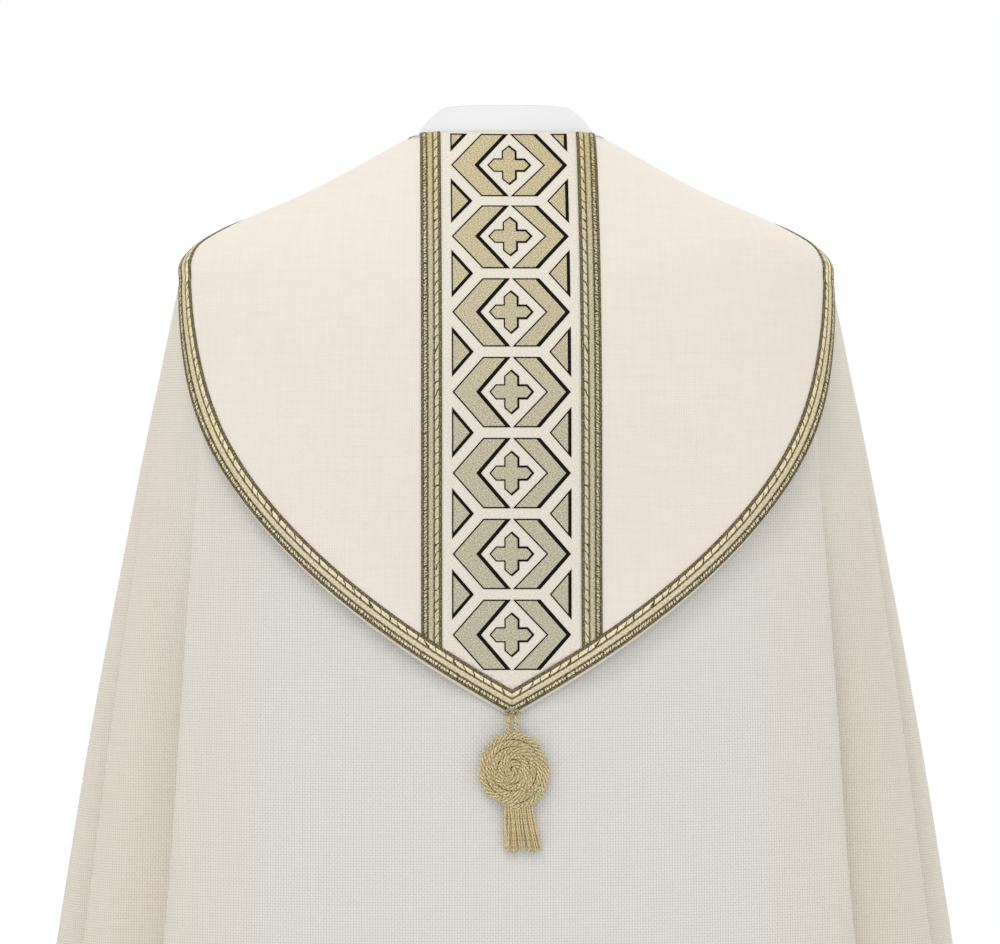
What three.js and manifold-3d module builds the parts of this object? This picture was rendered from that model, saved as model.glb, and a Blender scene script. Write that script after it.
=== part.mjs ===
// A liturgical cope with a shield hood, worn on a neck and two shoulders.
// Millimetres, +Z up. The wearer faces -Y, so the hood hangs on the +Y side and the
// wearer's left is +X. The origin is the centre of the neck at the back neckline's height.
import * as THREE from 'three';
import { mergeVertices } from 'three/addons/utils/BufferGeometryUtils.js';
import Module from 'manifold-3d';

const wasm = await Module();
wasm.setup();

// ---------------------------------------------------------------- driving dimensions

// Mantle: the half circle of cloth as it hangs from the shoulders.
const copeLength = 1450;          // back neckline to hem
const neckHalfWidth = 84;
const neckHalfDepthBack = 70;
const neckHalfDepthFront = 62;
const shoulderHalfWidth = 288;    // widest point of the shoulders
const shoulderDrop = 130;         // neckline down to that point
const hemHalfWidth = 445;
const backDepth = 142;            // neck axis to the cloth behind the shoulder blades
const chestDepth = 130;           // neck axis to the cloth over the chest
const bladeLevel = 250;           // how far down those two depths are taken
const hemHalfDepth = 250;
const roundness = 2.2;            // exponent of the level curves, 2 is an ellipse
const sideFlare = 1.75;           // how soon the sides spread below the shoulders, 1 is evenly
const depthFlare = 1.8;           // how late the front and back do
const foldDepth = 20;             // height of the hanging folds at the hem
const foldSpacing = 30;           // degrees between folds
const foldTop = 200;              // folds start this far below the neckline

// Front opening.
const neckDrop = 150;             // neckline down to where the fronts meet
const closedHalfGap = 10;
const hemHalfGap = 30;

// Hood: a shield that hangs from the neckline over the back.
const hoodLength = 493;
const hoodHalfWidth = 281;
const hoodPoint = 2.3;            // exponent of the shield's outline
const hoodRidgeLevel = 87;        // where the hood's edge crosses the shoulder
const hoodNeckLevel = 20;         // where its front edge meets the neckline
const hoodFoldLevel = 300;        // the line that the loose flap lifts from

// Trimmings.
const orphreyWidth = 117;         // brocade between the two galloons
const galloonWidth = 17.5;
const facingWidth = 45;
const hemFacingHeight = 60;
const collarHeight = 30;
const collarLean = 22;            // how far the collar leans in over its height
const collarCurve = 1.8;          // 1 leans evenly, more stands up first
const neckbandHeight = 4.5;

// Cloth thicknesses, and the gap kept between two layers.
const layerGap = 0.35;
const mantleCloth = 1.2;
const liningCloth = 0.6;
const stiffener = 0.6;
const hoodCloth = 0.8;
const brocade = 0.7;
const galloonCloth = 1.2;
const collarCloth = 1.6;

// Tassel.
const medallionDiameter = 62;
const medallionThickness = 6;
const tasselCordDiameter = 4;
const tasselCordLength = 13;
const tasselCordSpacing = 6.4;
const knotRadius = 4;
const fringeLength = 33;
const fringeTopWidth = 26;
const fringeBottomWidth = 35;
const fringeTopShift = -4.8;      // the fringe hangs off the middle and fans to one side
const fringeBottomShift = -9.4;
const fringeThickness = 4.5;
const headingHeight = 5;
const backingCloth = 1;
const backingInset = 4;

// Clasp.
const plateDiameter = 40;
const plateThickness = 2.2;
const plateInset = 3;             // plate edge to the edge of the front
const claspPinRadius = 2.5;
const claspHeadRadius = 4.6;
const claspHeadThickness = 1.6;
const hookThickness = 2;
const hookWidth = 12;
const pinClearance = 0.3;
const notchClearance = 0.6;

// ---------------------------------------------------------------- materials

function cloth(color, roughness = 0.85, metalness = 0) {
  return new THREE.MeshStandardMaterial({ color, roughness, metalness });
}

const ivory = cloth(0xdad4c5);
const ivoryHood = cloth(0xeee6d8);
const liningIvory = cloth(0xe6ddcb, 0.6);
const canvas = cloth(0xd8cfbb);
const goldBrocade = cloth(0xcabf9a, 0.6, 0.1);
const goldGalloon = cloth(0xa8996c, 0.5, 0.2);
const whiteCollar = cloth(0xefefef, 0.8);
const goldThread = cloth(0xb09a62, 0.5, 0.2);
const giltMetal = cloth(0xc9a44c, 0.3, 0.9);

// ---------------------------------------------------------------- helpers

const degrees = Math.PI / 180;
const layout = new THREE.Group();

function clamp(value, low, high) {
  return Math.min(high, Math.max(low, value));
}

function smooth(value) {
  const t = clamp(value, 0, 1);
  return t * t * (3 - 2 * t);
}

function signedPower(value, exponent) {
  return Math.sign(value) * Math.abs(value) ** exponent;
}

// A smooth curve through [depth below the neckline, value] pairs that never overshoots them.
function profile(points) {
  const slopes = points.map((point, i) => {
    const before = points[Math.max(i - 1, 0)];
    const after = points[Math.min(i + 1, points.length - 1)];
    if (i === 0) return (after[1] - point[1]) / (after[0] - point[0]);
    const rise = (point[1] - before[1]) / (point[0] - before[0]);
    if (i === points.length - 1) return rise;
    const next = (after[1] - point[1]) / (after[0] - point[0]);
    if (rise * next <= 0) return 0;
    return (2 * rise * next) / (rise + next);
  });
  return (depth) => {
    const last = points.length - 2;
    let i = 0;
    while (i < last && depth > points[i + 1][0]) i += 1;
    const [from, to] = [points[i], points[i + 1]];
    const span = to[0] - from[0];
    const t = clamp((depth - from[0]) / span, 0, 1);
    const t2 = t * t;
    const t3 = t2 * t;
    return (2 * t3 - 3 * t2 + 1) * from[1] + (t3 - 2 * t2 + t) * span * slopes[i]
      + (3 * t2 - 2 * t3) * to[1] + (t3 - t2) * span * slopes[i + 1];
  };
}

function solidOf(points, triangles) {
  const mesh = new wasm.Mesh({
    numProp: 3,
    vertProperties: new Float32Array(points.flatMap((p) => [p.x, p.y, p.z])),
    triVerts: new Uint32Array(triangles.flat()),
  });
  return new wasm.Manifold(mesh);
}

function solidFrom(geometry) {
  const bare = geometry.clone();
  bare.deleteAttribute('normal');
  bare.deleteAttribute('uv');
  const merged = mergeVertices(bare, 1e-4);
  const corners = merged.index.array;
  const triangles = [];
  for (let i = 0; i < corners.length; i += 3) {
    const [a, b, c] = corners.slice(i, i + 3);
    if (a !== b && b !== c && c !== a) triangles.push(a, b, c);
  }
  const mesh = new wasm.Mesh({
    numProp: 3,
    vertProperties: new Float32Array(merged.attributes.position.array),
    triVerts: new Uint32Array(triangles),
  });
  return new wasm.Manifold(mesh);
}

function geometryOf(solid) {
  const mesh = solid.getMesh();
  const geometry = new THREE.BufferGeometry();
  const corners = new Float32Array(mesh.vertProperties);
  geometry.setAttribute('position', new THREE.BufferAttribute(corners, 3));
  geometry.setIndex(new THREE.BufferAttribute(new Uint32Array(mesh.triVerts), 1));
  return geometry;
}

function block(low, high) {
  const size = high.map((value, i) => value - low[i]);
  const geometry = new THREE.BoxGeometry(...size);
  geometry.translate(...low.map((value, i) => value + size[i] / 2));
  return solidFrom(geometry);
}

function cylinder(radius, from, to, x = 0, segments = 20) {
  const geometry = new THREE.CylinderGeometry(radius, radius, to - from, segments);
  geometry.translate(x, (from + to) / 2, 0);
  return solidFrom(geometry);
}

function place(name, shape, material, parent = layout) {
  const geometry = shape.isBufferGeometry ? shape : geometryOf(shape);
  const mesh = new THREE.Mesh(geometry, material);
  mesh.name = name;
  parent.add(mesh);
  return mesh;
}

// A closed shell between two grids of points: rows x columns on an inner and an outer face.
function shellSolid(rows, columns, inner, outer) {
  const points = [];
  for (const face of [inner, outer]) {
    for (let r = 0; r < rows; r += 1) {
      for (let c = 0; c < columns; c += 1) points.push(face(r, c));
    }
  }
  const at = (face, r, c) => (face * rows + r) * columns + c;
  const triangles = [];
  const quad = (a, b, c, d) => triangles.push([a, b, c], [a, c, d]);
  for (let r = 0; r < rows - 1; r += 1) {
    for (let c = 0; c < columns - 1; c += 1) {
      quad(at(1, r, c), at(1, r, c + 1), at(1, r + 1, c + 1), at(1, r + 1, c));
      quad(at(0, r, c), at(0, r + 1, c), at(0, r + 1, c + 1), at(0, r, c + 1));
    }
    const end = columns - 1;
    quad(at(0, r, 0), at(1, r, 0), at(1, r + 1, 0), at(0, r + 1, 0));
    quad(at(1, r, end), at(0, r, end), at(0, r + 1, end), at(1, r + 1, end));
  }
  const bottom = rows - 1;
  for (let c = 0; c < columns - 1; c += 1) {
    quad(at(0, 0, c), at(0, 0, c + 1), at(1, 0, c + 1), at(1, 0, c));
    quad(at(1, bottom, c), at(1, bottom, c + 1), at(0, bottom, c + 1), at(0, bottom, c));
  }
  return solidOf(points, triangles);
}

// ---------------------------------------------------------------- the draped surface

// Shares of the shoulder's rise, from the neck out to the shoulder point.
const shoulderShape = [[0, 0], [0.35, 0.41], [0.615, 0.79], [0.73, 0.91], [0.86, 0.98], [1, 1]];
// Shares of the rise from the neck's depth to the depth at the shoulder blades.
const depthShape = [[0, 0], [0.24, 0.33], [0.48, 0.68], [0.72, 0.89], [1, 1]];

function below(top, bottom, low, high, bend) {
  return [0.14, 0.36, 0.65, 1].map((share) => [
    top + (bottom - top) * share,
    low + (high - low) * bend(share),
  ]);
}

const halfWidthAt = profile([
  ...shoulderShape.map(([down, out]) => [
    down * shoulderDrop,
    neckHalfWidth + (shoulderHalfWidth - neckHalfWidth) * out,
  ]),
  ...below(shoulderDrop, copeLength, shoulderHalfWidth, hemHalfWidth, (s) => 1 - (1 - s) ** sideFlare),
]);

function depthProfile(neckDepth, bodyDepth) {
  return profile([
    ...depthShape.map(([down, out]) => [down * bladeLevel, neckDepth + (bodyDepth - neckDepth) * out]),
    ...below(bladeLevel, copeLength, bodyDepth, hemHalfDepth, (s) => s ** depthFlare),
  ]);
}

const backDepthAt = depthProfile(neckHalfDepthBack, backDepth);
const frontDepthAt = depthProfile(neckHalfDepthFront, chestDepth);

// Height of the folds: none over the hood's middle or along the stiff front bands.
function foldAt(angle, depth) {
  const turn = Math.abs(angle) / degrees;
  const sides = smooth((turn - 45) / 12) * (1 - smooth((turn - 142) / 14));
  const growth = clamp((depth - foldTop) / (copeLength - foldTop), 0, 1);
  return foldDepth * growth * sides * Math.cos((turn - 90) / foldSpacing * 2 * Math.PI);
}

// Angle 0 is the middle of the back and 180 degrees the middle of the front.
function surfacePoint(angle, depth) {
  const fold = foldAt(angle, depth);
  const reach = (Math.cos(angle) >= 0 ? backDepthAt(depth) : frontDepthAt(depth)) + fold;
  return new THREE.Vector3(
    (halfWidthAt(depth) + fold) * signedPower(Math.sin(angle), 2 / roundness),
    reach * signedPower(Math.cos(angle), 2 / roundness),
    -depth,
  );
}

function surfaceNormal(angle, depth) {
  const step = 0.01;
  const across = surfacePoint(angle + step, depth).sub(surfacePoint(angle - step, depth));
  const up = surfacePoint(angle, Math.max(depth - 1, 0)).sub(surfacePoint(angle, depth + 1));
  return up.cross(across).normalize();
}

function offsetPoint(angle, depth, offset) {
  return surfacePoint(angle, depth).addScaledVector(surfaceNormal(angle, depth), offset);
}

// The angle at which a level curve reaches a given distance from the middle plane.
function angleAt(halfWidth, depth) {
  return Math.asin(clamp(halfWidth / halfWidthAt(depth), 0, 1) ** (roundness / 2));
}

// Half the gap between the fronts: the neckline's curve above, a narrow slot below.
function frontEdgeAt(depth) {
  if (depth < neckDrop) {
    const share = 0.5 + 0.5 * Math.cos(Math.PI * depth / neckDrop);
    return closedHalfGap + (neckHalfWidth - closedHalfGap) * share;
  }
  return closedHalfGap + (hemHalfGap - closedHalfGap) * (depth - neckDrop) / (copeLength - neckDrop);
}

function frontAngleAt(depth) {
  return Math.PI - angleAt(frontEdgeAt(depth), depth);
}

// Rows are levels down the cloth, close together over the shoulders.
function levels(from, to, count) {
  return Array.from({ length: count }, (_, i) => from + (to - from) * (i + 1) / count);
}

const shoulderEnd = 1.06 * shoulderDrop;
const claspDepth = neckDrop + plateDiameter / 2;
const hoodEnd = hoodLength + 25;
const rowLevels = [
  ...[0, 0.04, 0.12, 0.25, 0.42, 0.6, 0.75, 0.9].map((share) => share * shoulderDrop),
  shoulderEnd,
  claspDepth,
  ...levels(claspDepth, hoodEnd, 5),
  ...levels(hoodEnd, copeLength, 5),
];
const hoodRows = rowLevels.filter((depth) => depth <= hoodEnd + 1);

// Columns over the back lie at fixed angles. The front columns share out the rest of the way
// round to the front edge. A seam over the shoulder and down the side parts the two.
const seamAngle = 89 * degrees;
const seamGap = 0.08 * degrees;
const backTurns = [0, 15, 30, 45, 52.5, 60, 67.5, 75, 82.5];
const frontTurns = [97.5, 105, 112.5, 120, 127.5, 135, 142.5, 150, 165, 180];
const halfBack = backTurns.map((turn) => turn * degrees).concat(seamAngle);
const backAngles = [...halfBack.slice(1).reverse().map((angle) => -angle), ...halfBack];

function frontAngles(depth) {
  const start = seamAngle + seamGap;
  const reach = frontAngleAt(depth) - start;
  return [0, ...frontTurns.map((turn) => (turn * degrees - seamAngle) / (Math.PI - seamAngle))]
    .map((share) => start + reach * share);
}

// The angles of a layer's columns at one level: the back panel, a front panel, or all round.
const panels = {
  back: () => backAngles,
  left: (depth) => frontAngles(depth),
  right: (depth) => frontAngles(depth).map((angle) => -angle).reverse(),
  round: (depth) => [
    ...panels.right(depth).slice(0, -1),
    ...backAngles,
    ...panels.left(depth).slice(1),
  ],
};

// One layer of cloth lying between two offsets from the draped surface.
function layer(inner, outer, rows = rowLevels, panel = 'round') {
  const angles = rows.map((depth) => panels[panel](depth));
  const point = (offset) => (r, c) => offsetPoint(angles[r][c], rows[r], offset);
  return shellSolid(rows.length, angles[0].length, point(inner), point(outer));
}

// A solid that follows a patch of the surface, thick enough to cut every layer of it.
const cutDepth = 14;

function cutter(rows, columns, spot) {
  const face = (offset) => (r, c) => {
    const [angle, depth, lift] = spot(r, c);
    const point = offsetPoint(angle, depth, offset);
    point.z += lift;
    return point;
  };
  return shellSolid(rows, columns, face(-cutDepth), face(cutDepth));
}

// ---------------------------------------------------------------- layer heights

const frontTrimInner = layerGap;
const hoodLiningInner = frontTrimInner + galloonCloth + layerGap;
const hoodStiffenerInner = hoodLiningInner + liningCloth + layerGap;
const hoodShellInner = hoodStiffenerInner + stiffener + layerGap;
const hoodTrimInner = hoodShellInner + hoodCloth + layerGap;
const hoodTop = hoodTrimInner + galloonCloth;
const facingOuter = -mantleCloth - layerGap;

// ---------------------------------------------------------------- mantle

place('mantle_back', layer(-mantleCloth, 0, rowLevels, 'back'), ivory);
place('mantle_left_front', layer(-mantleCloth, 0, rowLevels, 'left'), ivory);
place('mantle_right_front', layer(-mantleCloth, 0, rowLevels, 'right'), ivory);

// ---------------------------------------------------------------- hood

// How far round the hood reaches at each level: past the shoulder's ridge near the neck,
// then back over it and down the shield's outline to the point.
function hoodAngleAt(depth) {
  if (depth <= hoodRidgeLevel) {
    const toNeck = clamp((hoodRidgeLevel - depth) / (hoodRidgeLevel - hoodNeckLevel), 0, 1.06);
    return Math.PI / 2 + (frontAngleAt(depth) - Math.PI / 2) * toNeck;
  }
  const down = clamp((depth - shoulderDrop) / (hoodLength - shoulderDrop), 0, 1);
  const outline = angleAt(hoodHalfWidth * (1 - down ** hoodPoint), Math.max(depth, shoulderDrop));
  const past = smooth((depth - hoodRidgeLevel) / (shoulderDrop - hoodRidgeLevel));
  return Math.PI / 2 + (outline - Math.PI / 2) * past;
}

// Levels along the hood's outline, closer together where it turns towards the point.
const outlineLevels = [
  ...levels(hoodNeckLevel * 0.4, hoodRidgeLevel, 5),
  ...levels(hoodRidgeLevel, shoulderDrop, 3),
  ...levels(shoulderDrop, hoodLength - 1, 12),
];
const outlineStart = [-24, 0, hoodNeckLevel * 0.4];

const hoodPatch = (() => {
  const rows = [...outlineStart, ...outlineLevels];
  const columns = 17;
  return cutter(rows.length, columns, (r, c) => {
    const depth = Math.max(rows[r], 0);
    return [hoodAngleAt(depth) * (2 * c / (columns - 1) - 1), depth, depth - rows[r]];
  });
})();

// A strip of given width along the hood's edge, which it overhangs so as to cut cleanly.
// side is +1 for the wearer's left.
const stripOverhang = 6;

function edgeStrip(side, width) {
  const rows = [...outlineLevels, hoodLength + stripOverhang];
  const centre = rows.map((depth, i) => {
    const at = (d) => surfacePoint(side * hoodAngleAt(Math.min(d, hoodLength)), d);
    const before = at(rows[Math.max(i - 1, 0)]);
    const after = at(rows[Math.min(i + 1, rows.length - 1)]);
    const along = after.sub(before).normalize();
    const point = at(depth);
    const normal = surfaceNormal(side * hoodAngleAt(Math.min(depth, hoodLength)), depth);
    const inward = normal.cross(along).multiplyScalar(side).normalize();
    return { point, inward };
  });
  const columns = 4;
  const face = (offset) => (r, c) => {
    const across = (width + stripOverhang) * c / (columns - 1) - stripOverhang;
    const { point, inward } = centre[r];
    const flat = point.clone().addScaledVector(inward, across);
    const angle = angleOf(flat);
    return offsetPoint(angle, -flat.z, offset);
  };
  const [inner, outer] = side > 0 ? [cutDepth, -cutDepth] : [-cutDepth, cutDepth];
  return shellSolid(rows.length, columns, face(inner), face(outer));
}

// The surface angle nearest a point in space at its own level.
function angleOf(point) {
  const depth = Math.max(-point.z, 0);
  const reach = point.y >= 0 ? backDepthAt(depth) : frontDepthAt(depth);
  return Math.atan2(
    signedPower(point.x / halfWidthAt(depth), roundness / 2),
    signedPower(point.y / reach, roundness / 2),
  );
}

const trimGap = 0.3;
const far = 700;
const leftOnly = block([trimGap / 2, -far, -copeLength - far], [far, far, far]);
const rightOnly = block([-far, -far, -copeLength - far], [-trimGap / 2, far, far]);
const upperPart = block([-far, -far, -hoodFoldLevel + trimGap / 2], [far, far, far]);
const lowerPart = block([-far, -far, -copeLength - far], [far, far, -hoodFoldLevel - trimGap / 2]);
const sides = [['left', 1, leftOnly], ['right', -1, rightOnly]];

const strips = { left: edgeStrip(1, galloonWidth), right: edgeStrip(-1, galloonWidth) };
const clearWidth = galloonWidth + trimGap;
const clearStrips = edgeStrip(1, clearWidth).add(edgeStrip(-1, clearWidth));
const orphreyHalf = orphreyWidth / 2;

function behind(low, high) {
  return block([low, 0, -hoodLength - far], [high, far, far]);
}

// The hood's layers, in the part sewn round the shoulders and in the loose flap below it.
const hoodParts = [
  ['hood_yoke', upperPart, hoodRows.filter((depth) => depth < hoodFoldLevel + 80)],
  ['hood_flap', lowerPart, hoodRows.filter((depth) => depth > hoodFoldLevel - 80)],
];

for (const [part, keep, rows] of hoodParts) {
  const panel = part === 'hood_flap' ? 'back' : 'round';
  const region = hoodPatch.intersect(keep);
  const sheet = (inner, thickness) => layer(inner, inner + thickness, rows, panel).intersect(region);
  place(`${part}_lining`, sheet(hoodLiningInner, liningCloth), liningIvory);
  if (part === 'hood_flap') place('hood_flap_stiffener', sheet(hoodStiffenerInner, stiffener), canvas);
  place(`${part}_shell`, sheet(hoodShellInner, hoodCloth), ivoryHood);
  const inside = sheet(hoodTrimInner, brocade).subtract(clearStrips);
  place(`${part}_orphrey`, inside.intersect(behind(-orphreyHalf, orphreyHalf)), goldBrocade);
  const trim = sheet(hoodTrimInner, galloonCloth);
  for (const [side, sign, half] of sides) {
    const across = [sign * (orphreyHalf + trimGap), sign * (orphreyHalf + trimGap + galloonWidth)];
    const run = trim.subtract(clearStrips).intersect(behind(Math.min(...across), Math.max(...across)));
    place(`${part}_galloon_${side}`, run, goldGalloon);
    place(`${part}_border_${side}`, trim.intersect(strips[side]).intersect(half), goldGalloon);
  }
}

// ---------------------------------------------------------------- front bands and facings

// A prism over one front, between two distances from its edge, that cuts a band out of a layer.
function frontBand(sign, from, to) {
  const steps = [-20, ...levels(0, neckDrop, 6), copeLength + 20];
  const edge = (depth) => frontEdgeAt(clamp(depth, 0, copeLength));
  const outline = [
    ...steps.map((depth) => new THREE.Vector2(sign * (edge(depth) + from), -depth)),
    ...steps.map((depth) => new THREE.Vector2(sign * (edge(depth) + to), -depth)).reverse(),
  ];
  const shape = new THREE.Shape(outline);
  const prism = new THREE.ExtrudeGeometry(shape, { depth: far, bevelEnabled: false });
  prism.rotateX(Math.PI / 2);
  return solidFrom(prism);
}

const outerGalloonStart = galloonWidth + trimGap + orphreyWidth + trimGap;
const frontBands = [
  ['galloon', 'inner', 0, galloonWidth, galloonCloth, goldGalloon],
  ['orphrey', '', galloonWidth + trimGap, orphreyWidth, brocade, goldBrocade],
  ['galloon', 'outer', outerGalloonStart, galloonWidth, galloonCloth, goldGalloon],
];

for (const [side, sign] of sides) {
  for (const [kind, where, from, width, thickness, material] of frontBands) {
    const sheet = layer(frontTrimInner, frontTrimInner + thickness, rowLevels, side);
    const name = ['front', kind, side, where].filter((word) => word).join('_');
    place(name, sheet.intersect(frontBand(sign, from, from + width)), material);
  }
  const back = layer(facingOuter - liningCloth, facingOuter, rowLevels, side);
  place(`front_facing_${side}`, back.intersect(frontBand(sign, 0, facingWidth)), liningIvory);
}

const hemRows = rowLevels.slice(-2);
const hemBand = block([-far, -far, -copeLength - far], [far, far, hemFacingHeight - copeLength]);
const hemSheet = layer(facingOuter - liningCloth, facingOuter, hemRows).intersect(hemBand);
const facingCuts = sides.map(([, sign]) => frontBand(sign, -1, facingWidth + trimGap));
place('hem_facing', facingCuts.reduce((sheet, cut) => sheet.subtract(cut), hemSheet), liningIvory);

// ---------------------------------------------------------------- neck

// Points round the neckline, from the wearer's left front over the back to the right front,
// at the corners of the mantle's own edge.
function necklinePath(frontDepth) {
  const front = rowLevels.filter((depth) => depth > 0 && depth <= frontDepth).reverse();
  const back = [Math.PI / 2, ...backAngles.slice().reverse(), -Math.PI / 2];
  return [
    ...front.map((depth) => [frontAngleAt(depth), depth]),
    ...back.map((angle) => [angle, 0]),
    ...front.map((depth) => [-frontAngleAt(depth), depth]).reverse(),
  ];
}

// Frames along the neckline: off points away from the cloth's edge, in the cloth's own plane.
function necklineFrames(path) {
  const points = path.map(([angle, depth]) => surfacePoint(angle, depth));
  return path.map(([angle, depth], i) => {
    const before = points[Math.max(i - 1, 0)];
    const after = points[Math.min(i + 1, points.length - 1)];
    const along = after.clone().sub(before).normalize();
    const normal = surfaceNormal(angle, depth);
    const off = normal.clone().cross(along).normalize();
    return { point: points[i], normal, off, depth };
  });
}

const bandFrames = necklineFrames(necklinePath(neckDrop));
const bandFoot = 0.6;              // the cloth's raw edge to the band's fold

function bandPoint({ point, normal, off, depth }, height, outer) {
  const overHood = 1 - smooth((depth - hoodNeckLevel) / hoodNeckLevel);
  const front = frontTrimInner + galloonCloth;
  const offset = outer ? front + (hoodTop - front) * overHood : -mantleCloth;
  return point.clone().addScaledVector(normal, offset).addScaledVector(off, height);
}

const bandFace = (outer) => (r, c) => bandPoint(bandFrames[c], r ? neckbandHeight : bandFoot, outer);
place('neckband', shellSolid(2, bandFrames.length, bandFace(false), bandFace(true)), ivoryHood);

// The white collar stands inside the neckband and leans in towards the neck.
const collarFront = 55;            // how far the collar follows the front neckline down
const collarFrames = necklineFrames(necklinePath(collarFront));
const collarTuck = 9;
const collarRows = [-collarTuck, 0, ...[0.25, 0.5, 0.75, 1].map((share) => share * collarHeight)];

function collarPoint(frame, height, thickness) {
  const foot = bandPoint(frame, neckbandHeight, false);
  const inward = new THREE.Vector3(-foot.x, -foot.y, 0).normalize();
  const front = smooth(frame.depth / collarFront);
  const rise = height > 0 ? height * (1 - 0.45 * front) - foot.z * (1 - front) : height;
  const curve = (Math.max(height, 0) / collarHeight) ** collarCurve;
  const lean = collarLean * curve * (1 - 0.3 * front);
  const point = foot.addScaledVector(inward, layerGap + 0.15 + thickness + lean);
  point.z += rise;
  return point;
}

const collarFace = (thickness) => (r, c) => collarPoint(collarFrames[c], collarRows[r], thickness);
const collarGrid = [collarRows.length, collarFrames.length];
place('white_collar', shellSolid(...collarGrid, collarFace(collarCloth), collarFace(0)), whiteCollar);

// ---------------------------------------------------------------- tassel

const tasselGroup = new THREE.Group();
const knotDepth = hoodLength - 3;
const tasselPlane = backDepthAt(knotDepth) + hoodTop + layerGap + knotRadius;
tasselGroup.position.set(0, tasselPlane, -knotDepth);
layout.add(tasselGroup);

place('tassel_knot', new THREE.SphereGeometry(knotRadius, 12, 8), goldThread, tasselGroup);

const cordTop = -knotRadius - trimGap;
const cordBottom = cordTop - tasselCordLength;
for (const [side, sign] of sides) {
  const radius = tasselCordDiameter / 2;
  const cord = new THREE.CylinderGeometry(radius, radius, tasselCordLength, 8);
  cord.translate(sign * tasselCordSpacing / 2, (cordTop + cordBottom) / 2, 0);
  cord.rotateX(Math.PI / 2);
  place(`tassel_cord_${side}`, cord, goldThread, tasselGroup);
}

// The medallion is one cord coiled flat and stitched down, here its outer shape.
const medallionRadius = medallionDiameter / 2;
const medallionCentre = cordBottom - trimGap - medallionRadius;
const rim = medallionThickness / 2;
const medallionProfile = [
  new THREE.Vector2(0, -rim),
  new THREE.Vector2(medallionRadius - rim, -rim),
  new THREE.Vector2(medallionRadius, 0),
  new THREE.Vector2(medallionRadius - rim, rim),
  new THREE.Vector2(0, rim),
];
const medallion = new THREE.LatheGeometry(medallionProfile, 24);
medallion.translate(0, 0, medallionCentre);
place('tassel_medallion', solidFrom(medallion), goldThread, tasselGroup);

const backingRadius = medallionRadius - backingInset;
const backing = new THREE.CylinderGeometry(backingRadius, backingRadius, backingCloth, 20);
backing.translate(0, -rim - trimGap - backingCloth / 2, medallionCentre);
place('tassel_backing', backing, canvas, tasselGroup);

const headingTop = medallionCentre - medallionRadius - trimGap;
const headingBottom = headingTop - headingHeight;
const heading = new THREE.BoxGeometry(fringeTopWidth, fringeThickness, headingHeight);
heading.translate(fringeTopShift, 0, (headingTop + headingBottom) / 2);
place('fringe_heading', heading, goldThread, tasselGroup);

const fringeTop = headingBottom - trimGap;
const fringeOutline = new THREE.Shape([
  new THREE.Vector2(fringeTopShift - fringeTopWidth / 2, fringeTop),
  new THREE.Vector2(fringeTopShift + fringeTopWidth / 2, fringeTop),
  new THREE.Vector2(fringeBottomShift + fringeBottomWidth / 2, fringeTop - fringeLength),
  new THREE.Vector2(fringeBottomShift - fringeBottomWidth / 2, fringeTop - fringeLength),
]);
const fringeDepth = { depth: fringeThickness, bevelEnabled: false };
const fringe = new THREE.ExtrudeGeometry(fringeOutline, fringeDepth);
fringe.translate(0, 0, -fringeThickness / 2);
fringe.rotateX(Math.PI / 2);
place('tassel_fringe', fringe, goldThread, tasselGroup);

// ---------------------------------------------------------------- clasp

// The clasp lies flat on the chest just below the neckline. Its group is turned so that
// local -Y points out of the cloth.
const chestSlope = Math.atan((frontDepthAt(claspDepth + 5) - frontDepthAt(claspDepth - 5)) / 10);
const claspGroup = new THREE.Group();
claspGroup.position.set(0, -frontDepthAt(claspDepth), -claspDepth);
claspGroup.rotation.x = -chestSlope;
layout.add(claspGroup);

const plateX = frontEdgeAt(claspDepth) + plateInset + plateDiameter / 2;
const plateBack = -(frontTrimInner + galloonCloth + layerGap);
const plateFront = plateBack - plateThickness;
const hookBack = plateFront - layerGap;
const hookFront = hookBack - hookThickness;
const headBack = hookFront - layerGap;
const pinBore = claspPinRadius + pinClearance;

for (const [side, sign] of sides) {
  const plate = cylinder(plateDiameter / 2, plateFront, plateBack, sign * plateX, 28);
  const bore = cylinder(pinBore, plateFront - 1, plateBack + 1, sign * plateX);
  place(`clasp_plate_${side}`, plate.subtract(bore), giltMetal, claspGroup);
  const shank = cylinder(claspPinRadius, headBack, plateBack, sign * plateX);
  const head = cylinder(claspHeadRadius, headBack - claspHeadThickness, headBack, sign * plateX);
  place(side === 'left' ? 'clasp_pivot_pin' : 'clasp_stud', shank.add(head), giltMetal, claspGroup);
}

// The hook turns on the left plate's pin and drops over the right plate's stud.
const hookOutline = new THREE.Shape();
const notch = claspPinRadius + notchClearance;
const halfHook = hookWidth / 2;
hookOutline.absarc(plateX, 0, halfHook, Math.PI / 2, -Math.PI / 2, true);
hookOutline.lineTo(-plateX + notch, -halfHook);
hookOutline.absarc(-plateX, 0, notch, 0, Math.PI, false);
hookOutline.lineTo(-plateX - notch, -halfHook);
hookOutline.lineTo(-plateX - halfHook, -halfHook);
hookOutline.absarc(-plateX, 0, halfHook, Math.PI, Math.PI / 2, true);
const hookDepth = { depth: hookThickness, bevelEnabled: false, curveSegments: 10 };
const hook = new THREE.ExtrudeGeometry(hookOutline, hookDepth);
hook.rotateX(Math.PI / 2);
hook.translate(0, hookBack, 0);
const hookBore = cylinder(pinBore, hookFront - 1, hookBack + 1, plateX);
place('clasp_hook', solidFrom(hook).subtract(hookBore), giltMetal, claspGroup);

export default layout;
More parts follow.
